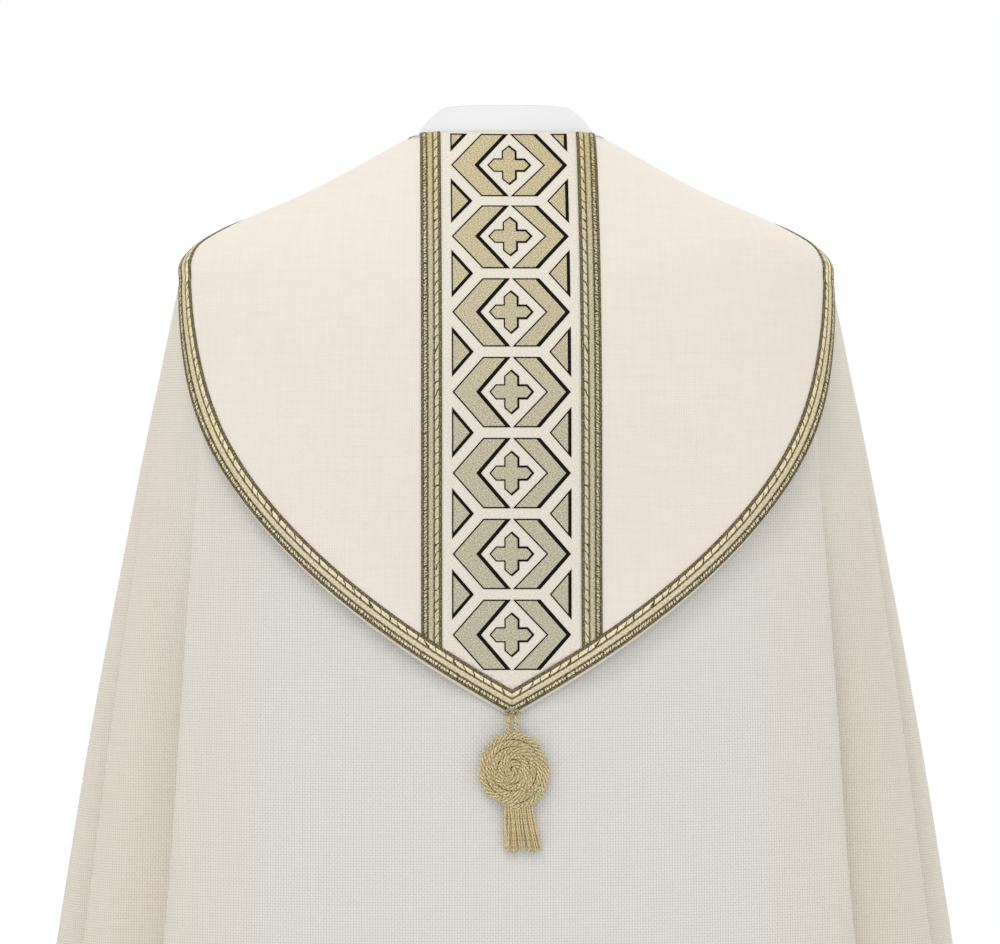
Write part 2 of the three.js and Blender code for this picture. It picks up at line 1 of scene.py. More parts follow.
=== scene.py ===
"""A liturgical cope with a shield hood: the looks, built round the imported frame.

Shapes are worked out in millimetres, as in the part's source, and turned into metres
where a mesh is made. The wearer faces -Y, the hood hangs on the +Y side and the
wearer's left is +X. The origin is the centre of the neck at the neckline's height.
"""

import math
from contextlib import contextmanager

import bmesh
import bpy
import numpy as np
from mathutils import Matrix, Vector


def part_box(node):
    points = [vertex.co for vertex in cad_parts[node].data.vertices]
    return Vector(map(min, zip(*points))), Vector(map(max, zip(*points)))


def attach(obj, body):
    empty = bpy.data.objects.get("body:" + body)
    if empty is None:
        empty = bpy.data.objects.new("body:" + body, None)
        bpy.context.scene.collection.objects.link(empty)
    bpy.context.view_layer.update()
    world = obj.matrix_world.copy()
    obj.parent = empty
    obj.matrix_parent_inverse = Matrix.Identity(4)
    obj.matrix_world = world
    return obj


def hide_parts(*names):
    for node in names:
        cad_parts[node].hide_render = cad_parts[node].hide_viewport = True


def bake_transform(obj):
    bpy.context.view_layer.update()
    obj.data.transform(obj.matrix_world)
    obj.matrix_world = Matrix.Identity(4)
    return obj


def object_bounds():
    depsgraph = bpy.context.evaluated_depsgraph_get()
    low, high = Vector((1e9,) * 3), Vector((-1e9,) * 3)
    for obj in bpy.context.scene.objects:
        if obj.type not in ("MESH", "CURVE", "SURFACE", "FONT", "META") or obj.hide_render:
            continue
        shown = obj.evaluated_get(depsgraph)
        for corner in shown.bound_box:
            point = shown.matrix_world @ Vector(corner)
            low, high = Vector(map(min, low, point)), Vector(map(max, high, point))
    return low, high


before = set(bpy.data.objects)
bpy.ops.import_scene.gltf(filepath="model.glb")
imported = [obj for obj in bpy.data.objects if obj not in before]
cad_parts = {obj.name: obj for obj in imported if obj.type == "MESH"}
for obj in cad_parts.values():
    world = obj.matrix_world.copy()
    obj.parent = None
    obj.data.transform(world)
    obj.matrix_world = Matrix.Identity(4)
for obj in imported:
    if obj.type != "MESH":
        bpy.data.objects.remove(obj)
cad_low, cad_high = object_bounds()
MM = 0.001

# ---------------------------------------------------------------- camera

VIEW_WIDTH = 0.84           # metres of the back that the picture's width takes in
VIEW_DISTANCE = 3.3         # camera to the cloth over the shoulder blades
VIEW_TURN = math.radians(1.8)
SENSOR = 36.0
VIEW_CENTRE_X = 0.0101
VIEW_CENTRE_Z = -0.2885

back_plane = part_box("hood_flap_shell")[1].y
camera_data = bpy.data.cameras.new("camera")
camera_data.sensor_width = SENSOR
camera_data.lens = SENSOR * VIEW_DISTANCE / VIEW_WIDTH
camera = bpy.data.objects.new("camera", camera_data)
camera.location = (VIEW_CENTRE_X + VIEW_DISTANCE * math.sin(VIEW_TURN),
                   back_plane + VIEW_DISTANCE * math.cos(VIEW_TURN), VIEW_CENTRE_Z)
camera.rotation_euler = (math.pi / 2, 0, math.pi - VIEW_TURN)
bpy.context.scene.collection.objects.link(camera)
bpy.context.scene.camera = camera
bpy.context.scene.view_settings.view_transform = "Standard"

# ---------------------------------------------------------------- driving dimensions

COPE_LENGTH = -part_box("mantle_back")[0].z / MM
HOOD_LENGTH = round(-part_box("hood_flap_shell")[0].z / MM)
NECK_HALF_WIDTH = 84
NECK_DEPTH_BACK = 70
NECK_DEPTH_FRONT = 62
SHOULDER_HALF_WIDTH = 288
SHOULDER_DROP = 130
HEM_HALF_WIDTH = 445
BACK_DEPTH = 142
CHEST_DEPTH = 130
BLADE_LEVEL = 250
HEM_HALF_DEPTH = 250
ROUNDNESS = 2.2
SIDE_FLARE = 1.75
DEPTH_FLARE = 1.8
FOLD_DEPTH = 20
FOLD_TOP = 200
NECK_DROP = 150
CLOSED_HALF_GAP = 10
HEM_HALF_GAP = 30
HOOD_HALF_WIDTH = 281
HOOD_POINT = 2.3
HOOD_RIDGE_LEVEL = 87
HOOD_NECK_LEVEL = 20
HOOD_FOLD_LEVEL = 300
ORPHREY_WIDTH = 117
GALLOON_WIDTH = 17.5
TRIM_GAP = 0.3
FACING_WIDTH = 45
HEM_FACING_HEIGHT = 60
COLLAR_HEIGHT = 30
COLLAR_LEAN = 22
COLLAR_CURVE = 1.8
COLLAR_TUCK = 9
COLLAR_FRONT = 55
NECKBAND_HEIGHT = 4.5
BAND_FOOT = 0.6

# Thicknesses of the cloths, and how far each layer's outer face (_TOP, _TRIM) stands off the
# draped surface.
MANTLE_CLOTH = 1.2
LINING_CLOTH = 0.6
HOOD_CLOTH = 0.8
FRONT_TRIM = 0.35
LINING_TOP = 2.5
STIFFENER_TOP = 3.45
HOOD_TOP = 4.6
HOOD_TRIM = 4.95
FACING_TOP = -1.55
COLLAR_CLOTH = 1.6

# The hood's free flanks stand a little further off the back than its middle. Each pair is
# where the lift starts or ends, and over how long: two levels, and a share of the way out.
FLANK_LIFT = 8
FLANK_START = (170, 130)
FLANK_END = (440, 45)
FLANK_REACH = (0.25, 0.75)

# The mantle's broad side fold and its slack, with the turns over which they come and go.
FOLD_START, FOLD_END = (58, 32), (96, 48)
SLACK_DEPTH, SLACK_TURN, SLACK_DROP = 1.5, 11, 260
SLACK_START, SLACK_END = (8, 20), (135, 12)

# Pleats in the mantle, in degrees from the middle of the back, and how steep they are.
# The two behind the shoulders lean towards the middle on their way down.
PLEATS_BACK = (48.8, 70.5)
PLEATS_FRONT = (109, 127)
PLEAT_EDGE = 1.7
PLEAT_DEPTH = 22
PLEAT_TOP = 150
PLEAT_RUN = 420
PLEAT_LEAN = 7.5
LEAN_RUN = 546
SECOND_LEAN = 0.7
SEAM_TURN = 89
SIDE_TURN = 90
SEAM_TUCK = 0.8
TUCK_WIDTH = 0.8
TUCK_TOP = 60

# A pleat's depth as a share, against degrees past its crease: it falls sharply behind the
# crease and comes up again slowly.
BACK_VALLEYS = (
    (PLEATS_BACK[0], ((-6, 0), (-1.5, -0.02), (-0.3, 0.08), (PLEAT_EDGE, 0.95), (3.5, 1), (7, 0.72),
                      (13, 0.1))),
    (PLEATS_BACK[1], ((-1.5, 0), (-0.3, 0.06), (PLEAT_EDGE, 0.85), (4, 0.8), (10, 0.3))),
    (88, ((0, 0),)))
FRONT_VALLEYS = (
    (91, ((0, 0),)),
    (PLEATS_FRONT[0], ((-1, -0.04), (0, 0.02), (PLEAT_EDGE, 0.75), (8, 0.4))),
    (PLEATS_FRONT[1], ((-4, 0), (0, 0), (PLEAT_EDGE, 0.6), (8, 0.2))),
    (146, ((0, 0),)))


# ---------------------------------------------------------------- the draped surface

def smooth(value):
    t = np.clip(value, 0, 1)
    return t * t * (3 - 2 * t)


def rising(value, start, width):
    return smooth((value - start) / width)


def travelled(path):
    """The distance along a path at each of its points."""
    steps = np.linalg.norm(np.diff(path, axis=0), axis=-1)
    return np.concatenate([[0], np.cumsum(steps)])


def stacked(*values):
    return np.stack(np.broadcast_arrays(*values), -1)


def signed_power(value, exponent):
    return np.sign(value) * np.abs(value) ** exponent


def profile(points):
    """A smooth curve through (depth, value) pairs that never overshoots them."""
    x, y = np.array(points, float).T
    rise = np.diff(y) / np.diff(x)
    slopes = np.concatenate([rise[:1], np.zeros(len(x) - 2), rise[-1:]])
    product, total = rise[:-1] * rise[1:], rise[:-1] + rise[1:]
    turning = product <= 0
    slopes[1:-1] = np.where(turning, 0, 2 * product / np.where(turning, 1, total))

    def value(depth):
        depth = np.clip(depth, x[0], x[-1])
        i = np.clip(np.searchsorted(x, depth) - 1, 0, len(x) - 2)
        span = x[i + 1] - x[i]
        t = (depth - x[i]) / span
        t2, t3 = t * t, t * t * t
        return ((2 * t3 - 3 * t2 + 1) * y[i] + (t3 - 2 * t2 + t) * span * slopes[i]
                + (3 * t2 - 2 * t3) * y[i + 1] + (t3 - t2) * span * slopes[i + 1])

    return value


SHOULDER_SHAPE = ((0, 0), (0.35, 0.41), (0.615, 0.79), (0.73, 0.91), (0.86, 0.98), (1, 1))
DEPTH_SHAPE = ((0, 0), (0.24, 0.33), (0.48, 0.68), (0.72, 0.89), (1, 1))
BELOW_SHARES = (0.14, 0.36, 0.65, 1)


def run_out(shape, drop, near, far, bend, hem):
    """A profile that follows shape down to drop, then bends out to its value at the hem."""
    upper = [(down * drop, near + (far - near) * out) for down, out in shape]
    lower = [(drop + (COPE_LENGTH - drop) * s, far + (hem - far) * bend(s)) for s in BELOW_SHARES]
    return profile(upper + lower)


half_width_at = run_out(SHOULDER_SHAPE, SHOULDER_DROP, NECK_HALF_WIDTH, SHOULDER_HALF_WIDTH,
                        lambda s: 1 - (1 - s) ** SIDE_FLARE, HEM_HALF_WIDTH)
back_depth_at = run_out(DEPTH_SHAPE, BLADE_LEVEL, NECK_DEPTH_BACK, BACK_DEPTH,
                        lambda s: s ** DEPTH_FLARE, HEM_HALF_DEPTH)
front_depth_at = run_out(DEPTH_SHAPE, BLADE_LEVEL, NECK_DEPTH_FRONT, CHEST_DEPTH,
                         lambda s: s ** DEPTH_FLARE, HEM_HALF_DEPTH)


def leant(depth):
    """Where the back pleats' creases lie at a depth, in degrees: further round near the top."""
    lean = PLEAT_LEAN * (1 - rising(depth, PLEAT_TOP, LEAN_RUN))
    return PLEATS_BACK[0] + lean, PLEATS_BACK[1] + lean * SECOND_LEAN


def carried(turn, old, new):
    """A turn moved along with the creases: the old two go to the new two, the seam stays."""
    (a, b), (c, d) = old, new
    between = c + (turn - a) * (d - c) / (b - a)
    behind = d + (turn - b) * (SEAM_TURN - d) / (SEAM_TURN - b)
    return np.where(turn < a, turn * c / a, np.where(turn < b, between, behind))


def valley_at(turn, valleys):
    return np.interp(turn, *zip(*((crease + past, share) for crease, shape in valleys
                                  for past, share in shape)))


def fold_at(angle, depth):
    """How far the mantle's cloth stands off the plain drape."""
    turn = np.abs(angle) / math.pi * 180
    upright = np.where(turn < SEAM_TURN, carried(turn, leant(depth), PLEATS_BACK), turn)
    valley = np.where(upright < SIDE_TURN, valley_at(upright, BACK_VALLEYS),
                      valley_at(upright, FRONT_VALLEYS))
    growth = np.clip((depth - FOLD_TOP) / (COPE_LENGTH - FOLD_TOP), 0, 1)
    spread = rising(turn, *FOLD_START) * (1 - rising(turn, *FOLD_END))
    wave = np.sin(turn / SLACK_TURN + depth / SLACK_DROP) * (1 - rising(turn, *SLACK_END))
    slack = SLACK_DEPTH * growth * wave * rising(turn, *SLACK_START)
    return (FOLD_DEPTH * growth * spread + slack
            - PLEAT_DEPTH * rising(depth, PLEAT_TOP, PLEAT_RUN) * valley)


def surface_point(angle, depth, folded=False):
    fold = fold_at(angle, depth) if folded else 0
    reach = np.where(np.cos(angle) >= 0, back_depth_at(depth), front_depth_at(depth)) + fold
    return stacked((half_width_at(depth) + fold) * signed_power(np.sin(angle), 2 / ROUNDNESS),
                   reach * signed_power(np.cos(angle), 2 / ROUNDNESS), -depth)


def unit(vectors):
    return vectors / np.maximum(np.linalg.norm(vectors, axis=-1, keepdims=True), 1e-12)


NORMAL_STEP = 0.006


def surface_normal(angle, depth, folded=False):
    across = (surface_point(angle + NORMAL_STEP, depth, folded)
              - surface_point(angle - NORMAL_STEP, depth, folded))
    up = (surface_point(angle, np.maximum(depth - 1, 0), folded)
          - surface_point(angle, depth + 1, folded))
    return unit(np.cross(up, across))


def offset_point(angle, depth, offset, folded=False):
    offset = np.asarray(offset, float)[..., None]
    return surface_point(angle, depth, folded) + surface_normal(angle, depth, folded) * offset


def angle_at(half_width, depth):
    return np.arcsin(np.clip(half_width / half_width_at(depth), 0, 1) ** (ROUNDNESS / 2))


def front_edge_at(depth):
    share = 0.5 + 0.5 * np.cos(math.pi * np.minimum(depth, NECK_DROP) / NECK_DROP)
    curve = CLOSED_HALF_GAP + (NECK_HALF_WIDTH - CLOSED_HALF_GAP) * share
    below = (depth - NECK_DROP) / (COPE_LENGTH - NECK_DROP)
    slot = CLOSED_HALF_GAP + (HEM_HALF_GAP - CLOSED_HALF_GAP) * below
    return np.where(depth < NECK_DROP, curve, slot)


def front_angle_at(depth, inset=0):
    return math.pi - angle_at(front_edge_at(depth) + inset, depth)


def hood_angle_at(depth):
    """How far round the hood reaches: past the shoulder's ridge near the neck, then back
    over it and down the shield's outline. It is negative past the point."""
    to_neck = np.clip((HOOD_RIDGE_LEVEL - depth) / (HOOD_RIDGE_LEVEL - HOOD_NECK_LEVEL), 0, 1)
    upper = math.pi / 2 + (front_angle_at(depth) - math.pi / 2) * to_neck
    down = np.maximum((depth - SHOULDER_DROP) / (HOOD_LENGTH - SHOULDER_DROP), 0)
    half = HOOD_HALF_WIDTH * (1 - down ** HOOD_POINT)
    outline = np.sign(half) * angle_at(np.abs(half), np.maximum(depth, SHOULDER_DROP))
    past = rising(depth, HOOD_RIDGE_LEVEL, SHOULDER_DROP - HOOD_RIDGE_LEVEL)
    lower = math.pi / 2 + (outline - math.pi / 2) * past
    return np.where(depth <= HOOD_RIDGE_LEVEL, upper, lower)


def angle_of(point):
    """The surface angle nearest a point in space at its own level."""
    depth = np.maximum(-point[..., 2], 0)
    reach = np.where(point[..., 1] >= 0, back_depth_at(depth), front_depth_at(depth))
    return np.arctan2(signed_power(point[..., 0] / half_width_at(depth), ROUNDNESS / 2),
                      signed_power(point[..., 1] / reach, ROUNDNESS / 2))


LEAST_ANGLE = 0.05


def hood_point(angle, depth, offset):
    """A point on a layer of the hood, whose flanks stand off the back as they near its edge."""
    edge = hood_angle_at(np.minimum(depth, HOOD_LENGTH - 1))
    reach = np.abs(angle) / np.maximum(edge, LEAST_ANGLE)
    low = rising(depth, *FLANK_START) * (1 - rising(depth, *FLANK_END))
    lift = FLANK_LIFT * low * rising(reach, *FLANK_REACH)
    point = offset_point(angle, np.maximum(depth, 0), offset + lift)
    rise = unit(surface_point(angle, 0.0) - surface_point(angle, 1.0))
    return point - rise * np.minimum(depth, 0)[..., None]


def at_distance(across, depth, offset, place, front=False):
    """A point on a layer at a distance across from the middle plane, once offset."""
    base = np.array(across, float)
    for _ in range(4):
        angle = np.sign(across) * angle_at(np.abs(base), depth)
        if front:
            angle = np.sign(across) * math.pi - angle
        point = place(angle, depth, offset)
        base = base + across - point[..., 0]
    return point


def arc_table(front):
    """Depth against distance down the middle of the back or the front."""
    depths = np.linspace(0, COPE_LENGTH, 800)
    reach = front_depth_at(depths) if front else back_depth_at(depths)
    return travelled(stacked(depths, reach)), depths


ARC = {False: arc_table(False), True: arc_table(True)}


def depth_of(arc, front=False):
    """The depth at a distance down. A distance above the cloth's edge stays as it is."""
    return np.where(arc < 0, arc, np.interp(arc, *ARC[front]))


def arc_of(depth, front=False):
    return np.interp(depth, ARC[front][1], ARC[front][0])


# ---------------------------------------------------------------- meshes

@contextmanager
def editing(mesh):
    shape = bmesh.new()
    shape.from_mesh(mesh)
    yield shape
    shape.to_mesh(mesh)
    shape.free()


def bisect(shape, point, direction, **clear):
    """Cuts all of a shape by a plane. clear_inner or clear_outer drops one side of it."""
    geometry = shape.verts[:] + shape.edges[:] + shape.faces[:]
    bmesh.ops.bisect_plane(shape, geom=geometry, plane_co=point, plane_no=direction, **clear)


class Shape:
    """Grids of points gathered into one mesh, with a UV map in millimetres."""

    def __init__(self):
        self.points, self.faces, self.coords, self.count = [], [], [], 0

    def grid(self, points, uv, wrap=False, flip=False):
        """Rows x columns of points. With wrap the last column joins the first, and uv
        has one column more than points."""
        rows, columns = points.shape[:2]
        r = np.arange(rows - 1)[:, None]
        c = np.arange(columns if wrap else columns - 1)[None, :]
        across = (c + 1) % columns
        corners = [r * columns + c, r * columns + across,
                   (r + 1) * columns + across, (r + 1) * columns + c]
        wide = uv.shape[1]
        marks = [r * wide + c, r * wide + c + 1, (r + 1) * wide + c + 1, (r + 1) * wide + c]
        order = (0, 3, 2, 1) if flip else (0, 1, 2, 3)
        faces = np.stack([corners[i] for i in order], -1).reshape(-1, 4)
        marks = np.stack([marks[i] for i in order], -1).reshape(-1)
        self.faces.append(faces + self.count)
        self.coords.append(uv.reshape(-1, 2)[marks])
        self.points.append(points.reshape(-1, 3))
        self.count += rows * columns
        return self

    def build(self, name, material, merge=False):
        mesh = bpy.data.meshes.new(name)
        points, faces = np.concatenate(self.points) * MM, np.concatenate(self.faces)
        mesh.vertices.add(len(points))
        mesh.vertices.foreach_set("co", points.astype(np.float32).ravel())
        mesh.loops.add(faces.size)
        mesh.loops.foreach_set("vertex_index", faces.astype(np.int32).ravel())
        mesh.polygons.add(len(faces))
        mesh.polygons.foreach_set("loop_start", np.arange(0, faces.size, 4, dtype=np.int32))
        mesh.uv_layers.new(name="UVMap").data.foreach_set(
            "uv", (np.concatenate(self.coords) * MM).astype(np.float32).ravel())
        mesh.update(calc_edges=True)
        mesh.polygons.foreach_set("use_smooth", np.ones(len(faces), bool))
        if merge:
            with editing(mesh) as shape:
                bmesh.ops.remove_doubles(shape, verts=shape.verts, dist=2e-6)
                bmesh.ops.dissolve_degenerate(shape, edges=shape.edges, dist=1e-6)
        return add_object(name, mesh, material)


def add_object(name, mesh, material):
    piece = bpy.data.objects.new(name, mesh)
    bpy.context.scene.collection.objects.link(piece)
    mesh.materials.append(material)
    return piece


def thicken(piece, thickness):
    """Gives a sheet its thickness, behind the face that was modelled."""
    solid = piece.modifiers.new("cloth", "SOLIDIFY")
    solid.thickness = thickness * MM
    solid.offset = -1
    return piece


def measured(points):
    """Distance along each row from its middle column, for a weave that isn't stretched."""
    steps = np.linalg.norm(np.diff(points, axis=1), axis=-1)
    along = np.concatenate([np.zeros((len(points), 1)), np.cumsum(steps, axis=1)], axis=1)
    return along - along[:, points.shape[1] // 2][:, None]


def cloth_grid(points, down):
    return np.stack([measured(points), np.broadcast_to(down[:, None], points.shape[:2])], -1)


def spaced(*runs):
    """Numbers along several (from, to, step) runs, joined end to end."""
    parts = [np.linspace(a, b, max(2, round(abs(b - a) / step) + 1)) for a, b, step in runs]
    return np.concatenate([parts[0], *[part[1:] for part in parts[1:]]])


UP = (0, 1, 0)


def sides_of(path, up):
    """Two unit vectors across a path at each point, square to each other."""
    tangent = unit(np.gradient(path, axis=0))
    side = unit(np.cross(tangent, np.broadcast_to(up, path.shape)))
    return side, np.cross(side, tangent)


def tube(shape, path, radius, sides, up=UP):
    """A round cord along a path, closed at its ends."""
    side, top = sides_of(path, up)
    radii = np.concatenate([[0], np.full(len(path), radius), [0]])
    path, side, top = (np.concatenate([v[:1], v, v[-1:]]) for v in (path, side, top))
    turn = np.linspace(0, 2 * math.pi, sides, endpoint=False)[None, :, None]
    ring = side[:, None] * np.cos(turn) + top[:, None] * np.sin(turn)
    points = path[:, None] + ring * radii[:, None, None]
    around = np.linspace(0, 2 * math.pi * radius, sides + 1)
    uv = stacked(around[None, :], travelled(path)[:, None])
    return shape.grid(points, uv, wrap=True, flip=True)


def twisted(shape, path, count, radius, orbit, pitch, sides, start=0.0, squash=1.0):
    """Several strands laid round one another along a path. squash flattens the bundle."""
    along = travelled(path)
    side, top = sides_of(path, UP)
    for strand in range(count):
        turn = (2 * math.pi * (along / pitch + strand / count) + start)[:, None]
        off = side * np.cos(turn) + squash * top * np.sin(turn)
        tube(shape, path + orbit * off, radius, sides)
    return shape


# ---------------------------------------------------------------- materials

class Finish:
    """A node material, with short ways to add and join nodes."""

    def __init__(self, name, roughness, sheen=0.0, metallic=0.0, specular=0.3):
        self.material = bpy.data.materials.new(name)
        self.material.use_nodes = True
        self.tree = self.material.node_tree
        self.shader = self.tree.nodes["Principled BSDF"]
        self.shader.inputs["Roughness"].default_value = roughness
        self.shader.inputs["Metallic"].default_value = metallic
        self.shader.inputs["Specular IOR Level"].default_value = specular
        self.shader.inputs["Sheen Weight"].default_value = sheen
        self.shader.inputs["Sheen Roughness"].default_value = 0.5
        coords = self.add("ShaderNodeUVMap")
        scaled = self.add("ShaderNodeVectorMath", {0: coords.outputs[0], 1: (1000, 1000, 1000)},
                          operation="MULTIPLY")
        self.place = scaled.outputs[0]
        split = self.add("ShaderNodeSeparateXYZ", {0: self.place})
        self.u, self.v = split.outputs[0], split.outputs[1]

    def add(self, kind, inputs=None, **settings):
        node = self.tree.nodes.new(kind)
        for key, value in settings.items():
            setattr(node, key, value)
        for key, value in (inputs or {}).items():
            if isinstance(value, bpy.types.NodeSocket):
                self.tree.links.new(value, node.inputs[key])
            else:
                node.inputs[key].default_value = value
        return node

    def maths(self, operation, a, b=0.0, c=0.0):
        return self.add("ShaderNodeMath", {0: a, 1: b, 2: c}, operation=operation).outputs[0]

    def times(self, a, b):
        return self.maths("MULTIPLY", a, b)

    def scaled(self, value, share, plus):
        return self.maths("MULTIPLY_ADD", value, share, plus)

    def slanted(self, along, slant):
        """A coordinate that also grows across the cloth, slant times as fast."""
        return self.scaled(self.u, slant, along)

    def span(self, value, low, high):
        """0 below low, 1 above high."""
        return self.add("ShaderNodeMapRange", {0: value, 1: low, 2: high}).outputs[0]

    def ridges(self, coordinate, pitch):
        """Rounded ridges, one in each pitch."""
        turned = self.times(coordinate, math.pi / pitch)
        return self.maths("ABSOLUTE", self.maths("SINE", turned))

    def mix(self, factor, a, b, blend="MIX"):
        node = self.add("ShaderNodeMix", data_type="RGBA", blend_type=blend)
        for key, value in ((0, factor), (6, a), (7, b)):
            if isinstance(value, bpy.types.NodeSocket):
                self.tree.links.new(value, node.inputs[key])
            else:
                node.inputs[key].default_value = value if key == 0 else (*value, 1)
        return node.outputs[2]

    def ramp(self, factor, stops):
        node = self.add("ShaderNodeValToRGB", {0: factor})
        elements = node.color_ramp.elements
        while len(elements) < len(stops):
            elements.new(0.5)
        for element, (position, colour) in zip(elements, stops):
            element.position = position
            element.color = (*colour, 1) if hasattr(colour, "__len__") else (colour,) * 3 + (1,)
        return node.outputs[0]

    def noise(self, scale, detail=3.0, stretch=None):
        place = self.place
        if stretch:
            place = self.add("ShaderNodeVectorMath", {0: place, 1: stretch},
                             operation="MULTIPLY").outputs[0]
        return self.add("ShaderNodeTexNoise", {"Vector": place, "Scale": scale, "Detail": detail}
                        ).outputs[0]

    def finish(self, colour, height, depth):
        """Joins the colour, and a height in shares of depth millimetres."""
        self.tree.links.new(colour, self.shader.inputs["Base Color"])
        bump = self.add("ShaderNodeBump", {"Height": height, "Distance": depth * MM,
                                           "Strength": 1.0})
        self.tree.links.new(bump.outputs[0], self.shader.inputs["Normal"])
        return self.material

    def roughen(self, factor, low, high):
        node = self.add("ShaderNodeMapRange", {0: factor, 3: low, 4: high})
        self.tree.links.new(node.outputs[0], self.shader.inputs["Roughness"])


def shade(colour, amount):
    return tuple(channel * amount for channel in colour)


def plain_weave(finish, pitch):
    """Height of a plain weave: each thread goes over its neighbours in turn."""
    warp, weft = finish.ridges(finish.u, pitch), finish.ridges(finish.v, pitch)
    signs = [finish.maths("SINE", finish.times(axis, math.pi / pitch))
             for axis in (finish.u, finish.v)]
    over = finish.maths("GREATER_THAN", finish.times(*signs), 0.0)
    return finish.scaled(finish.maths("SUBTRACT", warp, weft), over, weft)


def woven(name, colour, pitch, depth, contrast, sheen=0.2, roughness=0.85, slub=0.06, sides=None):
    """Plain woven cloth: threads, painted shade in the hollows between them, and slubs along both.
    contrast is how dark that painted shade is. sides is a second colour that the cloth turns to,
    painted shade, with the two distances from its middle that it does so."""
    finish = Finish(name, roughness, sheen, specular=0.15)
    weave = plain_weave(finish, pitch)
    slubs = finish.maths("ADD", finish.noise(0.5 / pitch, 2, (0.12, 1, 1)),
                         finish.noise(0.5 / pitch, 2, (1, 0.12, 1)))
    shares = finish.times(slubs, 0.5)
    tint = finish.mix(shares, shade(colour, 1 - slub), shade(colour, 1 + slub))
    # Painted shade: the cloth turns darker and yellower away from its middle, where it curves away
    # from the light.
    if sides:
        other, near, far = sides
        reach = finish.span(finish.maths("ABSOLUTE", finish.u), near, far)
        painted_side_shade = finish.mix(shares, shade(other, 1 - slub), shade(other, 1 + slub))
        tint = finish.mix(reach, tint, painted_side_shade)
    # Painted shade: the weave's low places, between the threads, are darkened and warmed.
    painted_gap_shade = finish.ramp(weave, [(0.0, shade((1, 0.985, 0.95), 1 - contrast)), (0.5, (1, 1, 1))])
    tint = finish.mix(1.0, tint, painted_gap_shade, "MULTIPLY")
    height = finish.scaled(slubs, 0.25, weave)
    finish.roughen(weave, roughness, roughness - 0.1)
    return finish.finish(tint, height, depth)


CORD_METAL = 0.15
CORD_ROUGHNESS = 0.42


def gold_cord(name, bright, dark, pitch):
    """Cord spun from gilt thread: fine slanting windings, with painted glints and painted shade
    between the windings.
    """
    finish = Finish(name, CORD_ROUGHNESS, 0.0, CORD_METAL, specular=0.5)
    winding = finish.ridges(finish.slanted(finish.v, 1.0), pitch)
    glints = finish.noise(0.85, 4)
    # Painted light: the darkest stop is painted shade in the gaps between windings, and the
    # brightest stops are painted highlights and glints.
    tint = finish.ramp(finish.scaled(winding, 0.2, glints), [
        (0.45, dark), (0.57, shade(bright, 0.66)), (0.66, bright), (0.76, PAINTED_GLINT)])
    finish.roughen(glints, CORD_ROUGHNESS + 0.15, CORD_ROUGHNESS - 0.15)
    return finish.finish(tint, winding, 0.18)


IVORY = (0.715, 0.695, 0.655)
# The mantle's own ivory with painted shade, darker and yellower, for where the cloth turns away
# from the light.
SHADED_SIDE_IVORY = (0.705, 0.652, 0.557)
HOOD_IVORY = (0.792, 0.727, 0.641)
LINING_IVORY = (0.80, 0.74, 0.63)
CANVAS = (0.66, 0.59, 0.47)
WHITE = (0.75, 0.755, 0.76)
CREAM = (0.76, 0.70, 0.60)
WARM_GOLD = (0.52, 0.445, 0.26)
PALE_GOLD = (0.475, 0.44, 0.32)
BLACK = (0.008, 0.0075, 0.007)
# Gilt thread tones: the dark one also serves as painted shade in the gaps between windings, and the
# glint is a painted highlight.
THREAD_LIGHT = (0.70, 0.56, 0.27)
THREAD_DARK = (0.19, 0.125, 0.045)
PAINTED_GLINT = (0.92, 0.82, 0.55)
OLIVE_DARK = (0.048, 0.036, 0.016)
OLIVE = (0.15, 0.118, 0.05)
OLIVE_LIGHT = (0.36, 0.30, 0.15)
SATIN = (0.62, 0.565, 0.39)
KNOB = (0.72, 0.65, 0.45)

# The back turns to the painted-shade ivory from 190 to 330 mm out from its middle; the fronts are
# wholly in that painted shade.
mantle_finish = woven("mantle_weave", IVORY, 2.3, 0.2, 0.3, sides=(SHADED_SIDE_IVORY, 190, 330))
front_finish = woven("mantle_front_weave", SHADED_SIDE_IVORY, 2.3, 0.2, 0.3)
hood_finish = woven("hood_weave", HOOD_IVORY, 2.1, 0.12, 0.11)
lining_finish = woven("lining_sateen", LINING_IVORY, 0.6, 0.03, 0.05, sheen=0.1, roughness=0.5)
canvas_finish = woven("canvas_weave", CANVAS, 1.2, 0.2, 0.25)
collar_finish = woven("collar_linen", WHITE, 0.5, 0.03, 0.04, sheen=0.1, roughness=0.7, slub=0.02)
cord_finish = gold_cord("gilt_cord", THREAD_LIGHT, THREAD_DARK, 0.9)
fringe_finish = gold_cord("gilt_fringe", shade(THREAD_LIGHT, 1.2), shade(THREAD_DARK, 1.7), 0.9)
knot_finish = gold_cord("dark_knot_cord", OLIVE_LIGHT, OLIVE_DARK, 0.8)


def ground_finish():
    """The orphrey's cream ground: fine ribs of weft with a grain to them."""
    finish = Finish("brocade_ground", 0.75, 0.1, specular=0.15)
    ribs = finish.ridges(finish.v, 1.1)
    grain = finish.noise(0.7, 3, (1, 1.5, 1))
    tint = finish.ramp(grain, [(0.34, shade(CREAM, 0.84)), (0.66, shade(CREAM, 1.1))])
    finish.roughen(grain, 0.8, 0.65)
    return finish.finish(tint, finish.scaled(grain, 0.8, ribs), 0.1)


GOLD_FADE = (20, 330)           # the gold is warm down to the first level, pale from the second


